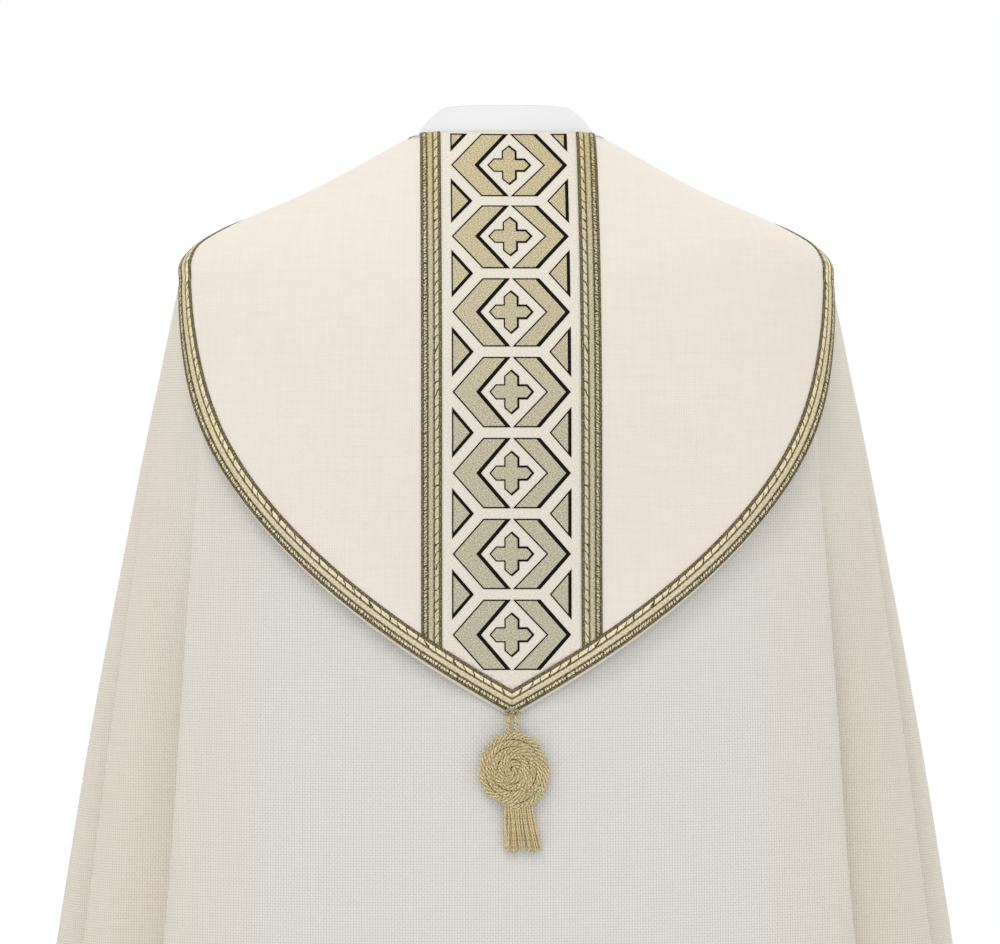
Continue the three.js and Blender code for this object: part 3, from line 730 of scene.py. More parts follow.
def fill_finish():
    """Pale gold weft in short floats, which glitters a little."""
    finish = Finish("gold_weft", 0.55, 0.05, 0.12, specular=0.3)
    floats = finish.ridges(finish.v, 0.9)
    grain = finish.noise(0.75, 3, (1, 1.3, 1))
    tones = [finish.ramp(grain, [(0.33, shade(gold, 0.62)), (0.5, gold), (0.67, shade(gold, 1.4))])
             for gold in (WARM_GOLD, PALE_GOLD)]
    tint = finish.mix(finish.span(finish.v, *GOLD_FADE), *tones)
    finish.roughen(grain, 0.65, 0.4)
    return finish.finish(tint, finish.scaled(grain, 0.8, floats), 0.12)


def outline_finish():
    """Black satin stitch."""
    finish = Finish("black_satin_stitch", 0.8, specular=0.0)
    # The stitches' tone follows their ridges: painted shade in the grooves between them.
    stitches = finish.ridges(finish.slanted(finish.v, 0.7), 0.6)
    tint = finish.ramp(stitches, [(0.0, shade(BLACK, 0.6)), (1.0, shade(BLACK, 1.6))])
    return finish.finish(tint, stitches, 0.05)


# The galloon across its width, from its outer edge inwards: a row of beads, a satin stripe
# and a row of leaves tied down by slanting thread, with dark cord between and beside them.
BEADS = (1.9, 5.4)
STRIPE = (6.5, 10.2)
LEAVES = (11.4, 15.2)
BEAD_PITCH, BEAD_SLANT = 2.8, 0.5
LEAF_PITCH, LEAF_SLANT = 9.6, 1.1
SOFT = 0.3
YELLOWING = (1.0, 0.93, 0.68)


def galloon_finish(name, light, warm):
    """Gilt braid. light makes its pale threads paler, and it is yellower down to warm."""
    finish = Finish(name, 0.5, 0.0, 0.12, specular=0.35)
    grain = finish.noise(0.95, 3)
    stray = finish.scaled(finish.noise(0.3, 3), 1.6, -0.8)
    across = finish.maths("DIVIDE", finish.maths("ADD", finish.u, stray), GALLOON_WIDTH)

    def inside(band):
        low, high = band
        stops = ((low - SOFT, 0.0), (low + SOFT, 1.0), (high - SOFT, 1.0), (high + SOFT, 0.0))
        return finish.ramp(across, [(at / GALLOON_WIDTH, value) for at, value in stops])

    def dome(band):
        low, high = band
        return finish.ridges(finish.maths("SUBTRACT", finish.u, low), high - low)

    def strayed(scale, reach):
        return finish.scaled(finish.noise(scale, 2), reach, finish.v)

    cord = finish.ramp(grain, [(0.4, OLIVE_DARK), (0.54, OLIVE), (0.64, shade(OLIVE_LIGHT, 1.25))])
    stripe = finish.ramp(grain, [(0.3, shade(SATIN, 0.85 * light)),
                                 (0.7, shade(SATIN, 1.1 * light))])
    tint = finish.mix(inside(STRIPE), cord, stripe)

    # The beads' tone follows their relief: dark between them and pale on their crests, which is
    # painted shade and painted highlight over the braid's own olive and cream.
    knobs = finish.ridges(finish.slanted(strayed(0.25, 7.0), BEAD_SLANT), BEAD_PITCH)
    knobs = finish.times(finish.times(knobs, dome(BEADS)), finish.scaled(grain, 2.4, -0.2))
    beads = finish.ramp(knobs, [(0.2, OLIVE_DARK), (0.42, OLIVE_LIGHT), (0.68, shade(KNOB, light))])
    tint = finish.mix(inside(BEADS), tint, beads)

    # The leaves are darker towards their edges, painted shade of their rounding, and dark at the
    # slanting ties; their palest stop is a painted highlight.
    ties = finish.ridges(finish.slanted(strayed(0.12, 12.0), LEAF_SLANT), LEAF_PITCH)
    leaf = finish.times(finish.ramp(ties, [(0.1, 0.0), (0.34, 1.0)]),
                        finish.ramp(dome(LEAVES), [(0.05, 0.0), (0.5, 1.0)]))
    leaf = finish.times(leaf, finish.scaled(grain, 1.8, 0.1))
    leaves = finish.ramp(leaf, [(0.15, OLIVE_DARK), (0.5, OLIVE_LIGHT),
                                (0.85, shade(SATIN, 1.2 * light))])
    tint = finish.mix(inside(LEAVES), tint, leaves)

    worn = finish.ramp(finish.noise(0.55, 3), [(0.35, shade((1, 0.97, 0.9), 0.68)),
                                               (0.6, (1, 1, 1))])
    tint = finish.mix(1.0, tint, worn, "MULTIPLY")
    yellow = finish.maths("SUBTRACT", 1.0, finish.span(finish.v, warm * 0.1, warm * 1.4))
    tint = finish.mix(yellow, tint, finish.mix(1.0, tint, YELLOWING, "MULTIPLY"))
    finish.roughen(grain, 0.62, 0.35)
    return finish.finish(tint, finish.ridges(finish.v, 0.7), 0.08)


ground = ground_finish()
gold_fill = fill_finish()
black_outline = outline_finish()
galloon = galloon_finish("gilt_galloon", 0.95, 90)
border_galloon = galloon_finish("gilt_border_galloon", 1.2, 400)


GILT = (0.80, 0.58, 0.25)


def gilt_finish():
    """Gilt metal, brushed and a little worn."""
    finish = Finish("gilt_metal", 0.3, 0, 1.0, specular=0.5)
    place = finish.add("ShaderNodeTexCoord").outputs["Object"]
    wear, brushed = (
        finish.add("ShaderNodeTexNoise",
                   {"Vector": place, "Scale": scale, "Detail": detail}).outputs[0]
        for scale, detail in ((90.0, 4.0), (900.0, 2.0)))
    tint = finish.ramp(wear, [(0.3, shade(GILT, 0.75)), (0.7, GILT)])
    finish.roughen(wear, 0.45, 0.25)
    return finish.finish(tint, brushed, 0.03)


gilt = gilt_finish()


# ---------------------------------------------------------------- mantle

COLUMN_STEP = 2.2
CREASE_BEFORE, CREASE_AFTER, CREASE_COLUMNS = 1.2, 0.9, 15


def turns(pleats, low, high):
    """Column angles in degrees: even, but close together across each pleat's crease."""
    marks = [low]
    for pleat in pleats:
        marks += list(np.arange(marks[-1] + COLUMN_STEP, pleat - COLUMN_STEP, COLUMN_STEP))
        marks += list(np.linspace(pleat - CREASE_BEFORE, pleat + PLEAT_EDGE + CREASE_AFTER,
                                  CREASE_COLUMNS))
    rest = max(2, round((high - marks[-1]) / COLUMN_STEP))
    return np.array(marks + list(np.linspace(marks[-1] + COLUMN_STEP, high, rest)))


mantle_depths = spaced((0, 140, 5), (140, 520, 10), (520, COPE_LENGTH, 15))
half_back = turns(PLEATS_BACK, 0, SEAM_TURN)
back_turns = np.concatenate([-half_back[:0:-1], half_back])
front_turns = turns(PLEATS_FRONT, SEAM_TURN, 180)
front_shares = (front_turns - SEAM_TURN) / (180 - SEAM_TURN)


def front_columns(depths):
    start = math.radians(SEAM_TURN)
    return start + (front_angle_at(depths)[:, None] - start) * front_shares


def back_columns(depths):
    turned = carried(np.abs(back_turns)[None, :], PLEATS_BACK, leant(depths[:, None]))
    return np.radians(turned) * np.sign(back_turns)


def mantle_layer(angles, depths, offset):
    """A layer of the mantle, drawn in a little along the side seams."""
    off_seam = (np.abs(np.degrees(angles)) - SEAM_TURN) / TUCK_WIDTH
    tuck = SEAM_TUCK * np.exp(-off_seam ** 2) * smooth(depths / TUCK_TOP)[:, None]
    return offset_point(angles, depths[:, None], offset - tuck, folded=True)


def laid(points, down, name, material, thickness, **settings):
    """A sheet of cloth over a grid of points, its weave unstretched across."""
    piece = Shape().grid(points, cloth_grid(points, down), **settings).build(name, material)
    return thicken(piece, thickness)


def fixed(piece, body, node):
    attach(piece, body)
    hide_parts(node)
    return piece


def mantle_panel(side, angles, node, material):
    piece = laid(mantle_layer(angles, mantle_depths, 0.0), arc_of(mantle_depths),
                 f"mantle_{side}_cloth", material, MANTLE_CLOTH)
    return fixed(piece, "mantle", node)


mantle_back = mantle_panel("back", back_columns(mantle_depths), "mantle_back", mantle_finish)
left_angles = front_columns(mantle_depths)
mantle_left = mantle_panel("left", left_angles, "mantle_left_front", front_finish)
mantle_right = mantle_panel("right", -left_angles[:, ::-1], "mantle_right_front", front_finish)

# ---------------------------------------------------------------- hood sheets

HOOD_COLUMNS = 97
HOOD_TOP_RUN, HOOD_TIP_RUN = 130, 40        # where the levels lie closer together


def bend_with_flap(piece):
    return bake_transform(piece)


def hood_sheet(name, material, top, thickness, beyond=0.0, first=0.0):
    """A layer of the hood. beyond is how far it shows past the hood's edge."""
    upper, lower = max(first + 4, HOOD_TOP_RUN), HOOD_LENGTH - HOOD_TIP_RUN
    depths = spaced((first, upper, 4), (upper, lower, 6), (lower, HOOD_LENGTH, 1.6))
    edge = np.maximum(hood_angle_at(np.minimum(depths, HOOD_LENGTH)), 0)
    extra = beyond * rising(depths, 150, 80) / half_width_at(depths)
    angles = (edge + extra)[:, None] * np.linspace(-1, 1, HOOD_COLUMNS)
    stretch = 1 + beyond / (HOOD_LENGTH - SHOULDER_DROP)
    stretched = SHOULDER_DROP + (depths - SHOULDER_DROP) * stretch
    levels = np.where(depths > SHOULDER_DROP, stretched, depths)
    points = hood_point(angles, levels[:, None], top)
    piece = laid(points, arc_of(depths), name, material, thickness)
    bend_with_flap(piece)
    return piece


hood_lining = hood_sheet("hood_lining_cloth", lining_finish, LINING_TOP, LINING_CLOTH, 1.6)
hood_stiffener = hood_sheet("hood_stiffener_cloth", canvas_finish, STIFFENER_TOP, LINING_CLOTH,
                            -2.0, HOOD_FOLD_LEVEL + 1)
hood_shell = hood_sheet("hood_shell_cloth", hood_finish, HOOD_TOP, HOOD_CLOTH)
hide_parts("hood_yoke_lining", "hood_flap_lining")
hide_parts("hood_flap_stiffener")
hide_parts("hood_yoke_shell", "hood_flap_shell")

# ---------------------------------------------------------------- galloons

GALLOON_COLUMNS = 25
GALLOON_STEP, FRONT_GALLOON_STEP = 0.7, 1.3


def galloon_relief(across, along):
    """Height of the galloon over the cloth."""

    def dome(band):
        low, high = band
        return np.sqrt(np.clip(1 - ((2 * across - low - high) / (high - low)) ** 2, 0, 1))

    knobs = np.abs(np.sin(math.pi * (along + BEAD_SLANT * across) / BEAD_PITCH))
    ties = np.abs(np.sin(math.pi * (along + LEAF_SLANT * across) / LEAF_PITCH))
    beads = dome(BEADS) * (0.35 + 0.45 * knobs)
    leaves = dome(LEAVES) * 0.7 * np.clip(ties / 0.4, 0, 1) ** 0.5
    cords = 0.45 * np.maximum(dome((0, BEADS[0])), dome((LEAVES[1], GALLOON_WIDTH)))
    return 0.3 + stacked(beads, 0.45 * dome(STRIPE) ** 0.3, leaves, cords).max(axis=-1)


def galloon_run(name, run, length, step, node_names, body=None, cuts=(), flip=False,
                material=galloon):
    """A galloon over run(across, along, height). Its outer columns turn down to the cloth."""
    along = np.linspace(0, length, round(length / step))
    across = np.linspace(0, GALLOON_WIDTH, GALLOON_COLUMNS)
    columns = np.concatenate([[0], across, [GALLOON_WIDTH]])
    relief = galloon_relief(across[None, :], along[:, None])
    foot = np.zeros((len(along), 1))
    heights = np.concatenate([foot, relief, foot], axis=1)
    uv = stacked(columns[None, :], along[:, None])
    points = run(uv[..., 0], uv[..., 1], heights)
    piece = Shape().grid(points, uv, flip=flip).build(name, material)
    if cuts:
        cut(piece, cuts)
    if body:
        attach(piece, body)
    else:
        bend_with_flap(piece)
    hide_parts(*node_names)
    return piece


def cut(piece, planes):
    """Keeps what lies on the positive side of each (point, direction) plane, in mm."""
    with editing(piece.data) as shape:
        for point, direction in planes:
            bisect(shape, Vector(point) * MM, Vector(direction), clear_inner=True)


# Where the border starts below the neck, and how far it runs past the hood's point.
EDGE_START = 8
BORDER_PAST = 9


def row_values(where, at, values):
    return np.stack([np.interp(where, at, values[:, i]) for i in range(3)], -1)


def border_run(side):
    """The border's run(across, along, height) on one side, and its length."""
    depths = spaced((EDGE_START, HOOD_TOP_RUN, 0.5),
                    (HOOD_TOP_RUN, HOOD_LENGTH + BORDER_PAST, 0.5))
    flat = surface_point(side * hood_angle_at(depths), depths)
    length = travelled(flat)
    even = np.linspace(0, length[-1], round(length[-1]))
    line = row_values(even, length, flat)
    normal = surface_normal(angle_of(line), np.maximum(-line[:, 2], 0))
    inward = unit(np.cross(normal, unit(np.gradient(line, axis=0)))) * side

    def run(across, along, height):
        inwards = row_values(along, even, inward) * across[..., None]
        flat = row_values(along, even, line) + inwards
        return hood_point(angle_of(flat), np.maximum(-flat[..., 2], 0), HOOD_TRIM + height)

    return run, even[-1]


def border_line(side, x):
    """Where the border's inner edge crosses a distance x from the middle plane."""
    run, length = border_run(side)
    along = np.linspace(length * 0.5, length, 600)
    points = run(np.full_like(along, GALLOON_WIDTH + TRIM_GAP), along, np.zeros_like(along))
    order = np.argsort(side * points[:, 0])
    return np.array([np.interp(x, side * points[order, 0], points[order, i]) for i in range(3)])


def under_border(side, near, far):
    """The plane that ends a piece along the border, between two distances from the middle."""
    a, b = border_line(side, near), border_line(side, far)
    direction = np.cross(b - a, UP) * side
    return tuple(a), tuple(direction / np.linalg.norm(direction))


SIDES = (("left", 1), ("right", -1))
NECK_TRIM_START = -3.4          # the trims run up over the neckband's outer face
orphrey_half = ORPHREY_WIDTH / 2
galloon_start = orphrey_half + TRIM_GAP

for side, sign in SIDES:
    run, length = border_run(sign)
    middle = ((sign * TRIM_GAP / 2, 0, 0), (sign, 0, 0))
    names = (f"hood_yoke_border_{side}", f"hood_flap_border_{side}")
    galloon_run(f"hood_border_{side}_braid", run, length, GALLOON_STEP, names,
                                  cuts=[middle], flip=sign < 0, material=border_galloon)

    def straight(across, along, height, sign=sign):
        x = sign * (galloon_start + GALLOON_WIDTH - across)
        return at_distance(x, depth_of(along + NECK_TRIM_START), HOOD_TRIM + height, hood_point)

    names = (f"hood_yoke_galloon_{side}", f"hood_flap_galloon_{side}")
    end = under_border(sign, galloon_start, galloon_start + GALLOON_WIDTH)
    galloon_run(f"hood_galloon_{side}_braid", straight, HOOD_LENGTH,
                                  GALLOON_STEP, names, cuts=[end], flip=sign > 0)

# ---------------------------------------------------------------- orphreys

UNIT_PITCH = 68.0               # one hexagon to the next, down the band
FIRST_UNIT = 29.6
HEX_HALF_WIDTH = 49.9
HEX_HALF_HEIGHT = 29.6
HEX_CORNER = 24.0
THIN, THICK = 1.15, 3.1
GAP_LEFT, GAP_RIGHT = 0.6, 0.8
DIAMOND_LEFT, DIAMOND_RIGHT = 26.0, 29.2
FOIL_REACH, FOIL_ARM, FOIL_SHOULDER = 19.0, 6.4, 13.4
FOIL_LINES = (1.8, 1.8, 1.1, 1.1)
TRIANGLE_EDGE, TRIANGLE_HALF, TRIANGLE_REACH = 50.3, 21.4, 18.4
TRIANGLE_LEFT, TRIANGLE_RIGHT = 2.7, 2.8


def inset(outline, widths):
    """The polygon whose edges lie inside the outline's by each edge's own width."""
    points = [Vector(p) for p in outline]
    count = len(points)
    lines = []
    for i, width in enumerate(widths):
        along = (points[(i + 1) % count] - points[i]).normalized()
        lines.append((points[i] + Vector((-along.y, along.x)) * width, along))
    inner = []
    for i in range(count):
        (p, d), (q, e) = lines[i - 1], lines[i]
        cross = d.x * e.y - d.y * e.x
        t = ((q.x - p.x) * e.y - (q.y - p.y) * e.x) / cross
        inner.append(tuple(p + d * t))
    return inner


def framed(outline, widths):
    """A gold polygon and the black strips round it, from an outline that turns left."""
    inner = inset(outline, widths)
    count = len(outline)
    strips = [[outline[i], outline[(i + 1) % count], inner[(i + 1) % count], inner[i]]
              for i in range(count)]
    return inner, strips


def motif():
    """One unit: two chevrons round a quatrefoil, centred on (0, 0), y down the band."""
    top, bottom = -HEX_HALF_HEIGHT, HEX_HALF_HEIGHT
    left = [(-HEX_HALF_WIDTH, 0), (-HEX_CORNER, top), (-GAP_LEFT, top), (-DIAMOND_LEFT, 0),
            (-GAP_LEFT, bottom), (-HEX_CORNER, bottom)]
    right = [(GAP_RIGHT, top), (HEX_CORNER, top), (HEX_HALF_WIDTH, 0), (HEX_CORNER, bottom),
             (GAP_RIGHT, bottom), (DIAMOND_RIGHT, 0)]
    quarter = [(0, -FOIL_REACH), (FOIL_ARM, -FOIL_SHOULDER), (FOIL_ARM, -FOIL_ARM),
               (FOIL_SHOULDER, -FOIL_ARM)]
    foil, widths = [], []
    for (c, s), width in zip(((1, 0), (0, 1), (-1, 0), (0, -1)), FOIL_LINES):
        foil += [(x * c - y * s, x * s + y * c) for x, y in quarter]
        widths += [width] * 4
    return [
        framed(left, (THIN, THIN, THICK, THICK, THIN, THIN)),
        framed(right, (THIN, THICK, THICK, THIN, THIN, THIN)),
        framed(foil, widths),
    ]


def side_triangles():
    """The two triangles between one unit and the next, centred on their own level."""
    edge, half, reach = TRIANGLE_EDGE, TRIANGLE_HALF, TRIANGLE_REACH
    left = [(-edge, -half), (-edge + reach, 0), (-edge, half)]
    right = [(edge, -half), (edge, half), (edge - reach, 0)]
    return [framed(left, (TRIANGLE_LEFT, TRIANGLE_LEFT, THIN)),
            framed(right, (TRIANGLE_RIGHT, THIN, THIN))]


def corner_triangles():
    """What is left of the first two triangles below the level of the first unit's top."""
    edge, half = TRIANGLE_EDGE, TRIANGLE_HALF
    top = UNIT_PITCH / 2 - HEX_HALF_HEIGHT
    reach = TRIANGLE_REACH * (1 - top / half)
    left = [(-edge, top), (-edge + reach, top), (-edge, half)]
    right = [(edge, top), (edge, half), (edge - reach, top)]
    return [framed(left, (THIN, TRIANGLE_LEFT, THIN)), framed(right, (TRIANGLE_RIGHT, THIN, THIN))]


def band_pattern(units):
    """Every gold polygon and black strip down a band of that many hexagons."""
    gold, black = [], []
    middles = FIRST_UNIT + UNIT_PITCH * np.arange(units)
    between = middles - UNIT_PITCH / 2
    for shapes, levels in ((motif(), middles), (corner_triangles(), between[:1]),
                           (side_triangles(), between[1:])):
        for down in levels:
            for inner, strips in shapes:
                gold.append([(x, y + down) for x, y in inner])
                black += [[(x, y + down) for x, y in strip] for strip in strips]
    return gold, black


PATCH_STEP = 5.0                # patches are cut this fine, so that they follow the cloth


def patches(name, polygons, place, low, high, material, thickness, keep=None, step=PATCH_STEP):
    """Flat polygons laid on the cloth by place(across, along), between two levels."""
    shape = bmesh.new()
    for polygon in polygons:
        shape.faces.new([shape.verts.new((x, y, 0)) for x, y in polygon])
    shape.normal_update()
    bmesh.ops.triangulate(shape, faces=shape.faces[:])

    def slice_at(axis, position, **clear):
        point, direction = Vector((0, 0, 0)), Vector((0, 0, 0))
        point[axis], direction[axis] = position, 1
        bisect(shape, point, direction, **clear)

    slice_at(1, low, clear_inner=True)
    slice_at(1, high, clear_outer=True)
    for x in np.arange(-orphrey_half + step, orphrey_half, step):
        slice_at(0, x)
    for y in np.arange(low + step, high, step):
        slice_at(1, y)
    bmesh.ops.remove_doubles(shape, verts=shape.verts, dist=1e-4)
    flat = np.array([v.co[:2] for v in shape.verts])
    if keep:
        stays = keep(flat[:, 0], flat[:, 1])
        dropped = [vertex for vertex, kept in zip(shape.verts[:], stays) if not kept]
        bmesh.ops.delete(shape, geom=dropped, context="VERTS")
        flat = np.array([v.co[:2] for v in shape.verts])
    layer = shape.loops.layers.uv.new("UVMap")
    for face in shape.faces:
        for loop in face.loops:
            loop[layer].uv = loop.vert.co.xy * MM
    points = place(flat[:, 0], flat[:, 1]) * MM
    for vertex, point in zip(shape.verts, points):
        vertex.co = point
    bmesh.ops.recalc_face_normals(shape, faces=shape.faces[:])
    mesh = bpy.data.meshes.new(name)
    shape.to_mesh(mesh)
    shape.free()
    return thicken(add_object(name, mesh, material), thickness)


def face_outwards(piece, direction):
    """Turns every face's front to a side, for patches whose pieces aren't joined."""
    side = Vector(direction)
    with editing(piece.data) as shape:
        wrong = [face for face in shape.faces if face.normal.dot(side) < 0]
        bmesh.ops.reverse_faces(shape, faces=wrong)


GROUND_THICKNESS = 0.5
GOLD_RAISE = 0.15
BLACK_RAISE = 0.25
PATCH_ROOT = 0.1                # how far a patch sinks into the ground
NOT_ZERO = 1e-6


def hood_band(raise_by):
    offset = HOOD_TRIM + GROUND_THICKNESS + raise_by

    def place(across, along):
        return at_distance(-across + NOT_ZERO, depth_of(along), offset, hood_point)
    return place


band_length = arc_of(HOOD_LENGTH)
gold_shapes, black_shapes = band_pattern(int(band_length // UNIT_PITCH))
tip_cuts = [under_border(sign, 0, orphrey_half) for _, sign in SIDES]
NECK_MARGIN = -1.6

across = np.linspace(-orphrey_half, orphrey_half, 41)
along = spaced((NECK_TRIM_START, band_length, 5))
ground_grid = stacked(*np.meshgrid(across, along))
ground_points = hood_band(0.0)(*ground_grid.reshape(-1, 2).T).reshape(*ground_grid.shape[:2], 3)
orphrey = Shape().grid(ground_points, ground_grid, flip=True).build("hood_orphrey_ground", ground)
cut(orphrey, tip_cuts)
thicken(orphrey, GROUND_THICKNESS)
bend_with_flap(orphrey)
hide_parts("hood_yoke_orphrey", "hood_flap_orphrey")

for name, shapes, raise_by, finish in (
        ("hood_orphrey_gold", gold_shapes, GOLD_RAISE, gold_fill),
        ("hood_orphrey_outline", black_shapes, BLACK_RAISE, black_outline)):
    piece = patches(name, shapes, hood_band(raise_by), NECK_MARGIN, band_length, finish,
                    raise_by + PATCH_ROOT)
    face_outwards(piece, (0, 1, 0.2))
    cut(piece, tip_cuts)
    bend_with_flap(piece)

# ---------------------------------------------------------------- front bands and facings

def first_depth(inset_from_edge):
    """Where a line at that distance from the front edge leaves the shoulder's ridge."""
    depths = np.linspace(0, NECK_DROP, 400)
    room = half_width_at(depths) - front_edge_at(depths)
    return np.interp(inset_from_edge + 1, np.maximum.accumulate(room), depths)


def on_mantle(angle, depth, offset):
    return offset_point(angle, depth, offset, folded=True)


def front_place(sign, offset):
    def place(from_edge, depth):
        x = sign * (front_edge_at(depth) + from_edge)
        return at_distance(x, depth, offset, on_mantle, front=True)
    return place


FRONT_MARGIN = 2.0
HEM_MARGIN = 6
RIDGE_MARGIN = 3
FRONT_PATCH_STEP = 8.0
front_pieces = {"left": [], "right": []}
front_length = arc_of(COPE_LENGTH, True)
band_start = GALLOON_WIDTH + TRIM_GAP
outer_start = band_start + ORPHREY_WIDTH + TRIM_GAP
band_middle = band_start + orphrey_half
gold_run, black_run = band_pattern(math.ceil(front_length / UNIT_PITCH) + 1)


def front_strip(name, sign, low, high, offset, thickness, material, node, columns):
    """A flat strip down one front, from the ridge of the shoulder to the hem."""
    from_edge = np.linspace(low, high, columns)
    shares = spaced((0, 0.12, 0.008), (0.12, 1, 0.012))
    start = first_depth(from_edge)
    depth = start[None, :] + (COPE_LENGTH - start[None, :]) * shares[:, None]
    uv = stacked(from_edge[None, :], depth)
    points = front_place(sign, np.full(depth.shape, float(offset)))(uv[..., 0], depth)
    piece = Shape().grid(points, uv, flip=sign > 0).build(name, material)
    return fixed(thicken(piece, thickness), "mantle", node)


for side, sign in SIDES:
    pieces = front_pieces[side]
    pieces.append(front_strip(
        f"front_orphrey_{side}_ground", sign, band_start, band_start + ORPHREY_WIDTH,
        FRONT_TRIM + GROUND_THICKNESS, GROUND_THICKNESS, ground, f"front_orphrey_{side}",
        25))
    for kind, shapes, raise_by, finish in (("gold", gold_run, GOLD_RAISE, gold_fill),
                                           ("outline", black_run, BLACK_RAISE, black_outline)):
        def band(across, along, raise_by=raise_by, sign=sign):
            offset = np.full(across.shape, FRONT_TRIM + GROUND_THICKNESS + raise_by)
            return front_place(sign, offset)(band_middle + sign * across, depth_of(along, True))

        def clear(across, along, sign=sign):
            start = first_depth(band_middle + sign * across)
            return depth_of(along, True) > start + RIDGE_MARGIN

        piece = patches(f"front_orphrey_{side}_{kind}", shapes, band, FRONT_MARGIN,
                        front_length - HEM_MARGIN, finish, raise_by + PATCH_ROOT, keep=clear,
                        step=FRONT_PATCH_STEP)
        face_outwards(piece, (0, -1, 0.2))
        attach(piece, "mantle")
        pieces.append(piece)
    for where, start, outwards in (("inner", 0, 1), ("outer", outer_start, -1)):
        def run(across, along, height, start=start, outwards=outwards, sign=sign):
            from_edge = start + (across if outwards > 0 else GALLOON_WIDTH - across)
            first = first_depth(from_edge)
            depth = first + (COPE_LENGTH - first) * along / COPE_LENGTH
            return front_place(sign, FRONT_TRIM + height)(from_edge, depth)

        pieces.append(galloon_run(f"front_galloon_{side}_{where}_braid", run, COPE_LENGTH,
                                  FRONT_GALLOON_STEP,
                                  [f"front_galloon_{side}_{where}"], body="mantle",
                                  flip=sign * outwards > 0))
    pieces.append(front_strip(
        f"front_facing_{side}_cloth", sign, 0, FACING_WIDTH, FACING_TOP, LINING_CLOTH,
        lining_finish, f"front_facing_{side}", 9))

hem_depths = np.linspace(COPE_LENGTH - HEM_FACING_HEIGHT, COPE_LENGTH, 7)
EDGE_ROOM = 0.005
hem_end = front_angle_at(hem_depths, FACING_WIDTH + TRIM_GAP)[:, None]
left_hem = front_columns(hem_depths)
short_of_end = (left_hem < hem_end - EDGE_ROOM).all(axis=0)
left_hem = np.hstack([left_hem[:, short_of_end], hem_end])
hem_back = back_columns(hem_depths)
hem_angles = np.concatenate([-left_hem[:, :0:-1], hem_back, left_hem[:, 1:]], axis=1)
hem_facing = laid(mantle_layer(hem_angles, hem_depths, FACING_TOP), hem_depths,
                  "hem_facing_cloth", lining_finish, LINING_CLOTH)
fixed(hem_facing, "mantle", "hem_facing")

# ---------------------------------------------------------------- neck

def neckline(front_depth, step):
    """Points round the neckline from the left front over the back to the right front, each
    with its normal and the direction off the cloth's edge."""
    front = spaced((front_depth, 2, step))
    back = np.linspace(math.pi / 2, -math.pi / 2, 81)
    angles = np.concatenate([front_angle_at(front), back, -front_angle_at(front[::-1])])
    depths = np.concatenate([front, np.zeros(len(back)), front[::-1]])
    points = surface_point(angles, depths)
    along = unit(np.gradient(points, axis=0))
    normal = surface_normal(angles, depths)
    return points, normal, unit(np.cross(normal, along)), depths


band_points, band_normals, band_off, band_depths = neckline(NECK_DROP, 5)
FRONT_TOP = FRONT_TRIM + 1.2
over_hood = 1 - rising(band_depths, HOOD_NECK_LEVEL, HOOD_NECK_LEVEL)
band_outer = FRONT_TOP + (HOOD_TOP + 0.15 - FRONT_TOP) * over_hood
# The band's section: up its inner face, over a rounded fold and down its outer face.
BAND_FOLD = 1.5
section = [(0.0, BAND_FOOT)]
section += [(0.5 - 0.5 * math.cos(t), NECKBAND_HEIGHT - BAND_FOLD + BAND_FOLD * math.sin(t))
            for t in np.linspace(0, math.pi, 9)]
section += [(1.0, BAND_FOOT), (0.5, BAND_FOOT)]
inner_offset = -MANTLE_CLOTH
band_grid = np.stack([
    band_points + band_normals * (inner_offset + (band_outer - inner_offset) * share)[:, None]
    + band_off * height for share, height in section], axis=1)
band_uv = stacked(np.linspace(0, 20, len(section) + 1)[None, :], travelled(band_points)[:, None])
neckband = Shape().grid(band_grid, band_uv, wrap=True).build("neckband_cloth", hood_finish)
fixed(neckband, "mantle", "neckband")

collar_points, collar_normals, collar_off, collar_depths = neckline(COLLAR_FRONT, 3)
foot = collar_points - collar_normals * MANTLE_CLOTH + collar_off * NECKBAND_HEIGHT
collar_inward = unit(np.stack([-foot[:, 0], -foot[:, 1], np.zeros(len(foot))], -1))
collar_front = smooth(collar_depths / COLLAR_FRONT)
COLLAR_ROLL, ROLL_HEIGHT = 0.8, 3
FRONT_LOWER, FRONT_UPRIGHT = 0.45, 0.3      # how much lower and straighter the fronts stand
collar_rows = []
for height in spaced((COLLAR_HEIGHT, 0, 1.5), (0, -COLLAR_TUCK, 3)):
    rise = np.full(len(foot), height)
    if height > 0:
        rise = height * (1 - FRONT_LOWER * collar_front) - foot[:, 2] * (1 - collar_front)
    rolled = COLLAR_ROLL * rising(height, COLLAR_HEIGHT - ROLL_HEIGHT, ROLL_HEIGHT) ** 2
    curve = (max(height, 0) / COLLAR_HEIGHT) ** COLLAR_CURVE
    lean = COLLAR_LEAN * curve * (1 - FRONT_UPRIGHT * collar_front) + rolled
    row = foot + collar_inward * (0.5 + lean)[:, None]
    row[:, 2] += rise
    collar_rows.append(row)
collar_grid = np.array(collar_rows)
collar = laid(collar_grid, travelled(collar_grid[:, len(foot) // 2]), "white_collar_cloth",
              collar_finish, COLLAR_CLOTH, flip=True)
fixed(collar, "mantle", "white_collar")

# ---------------------------------------------------------------- tassel

def middle_of(node):
    low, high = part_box(node)
    return np.array((low + high) / 2) / MM


def size_of(node):
    low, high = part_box(node)
    return np.array(high - low) / MM


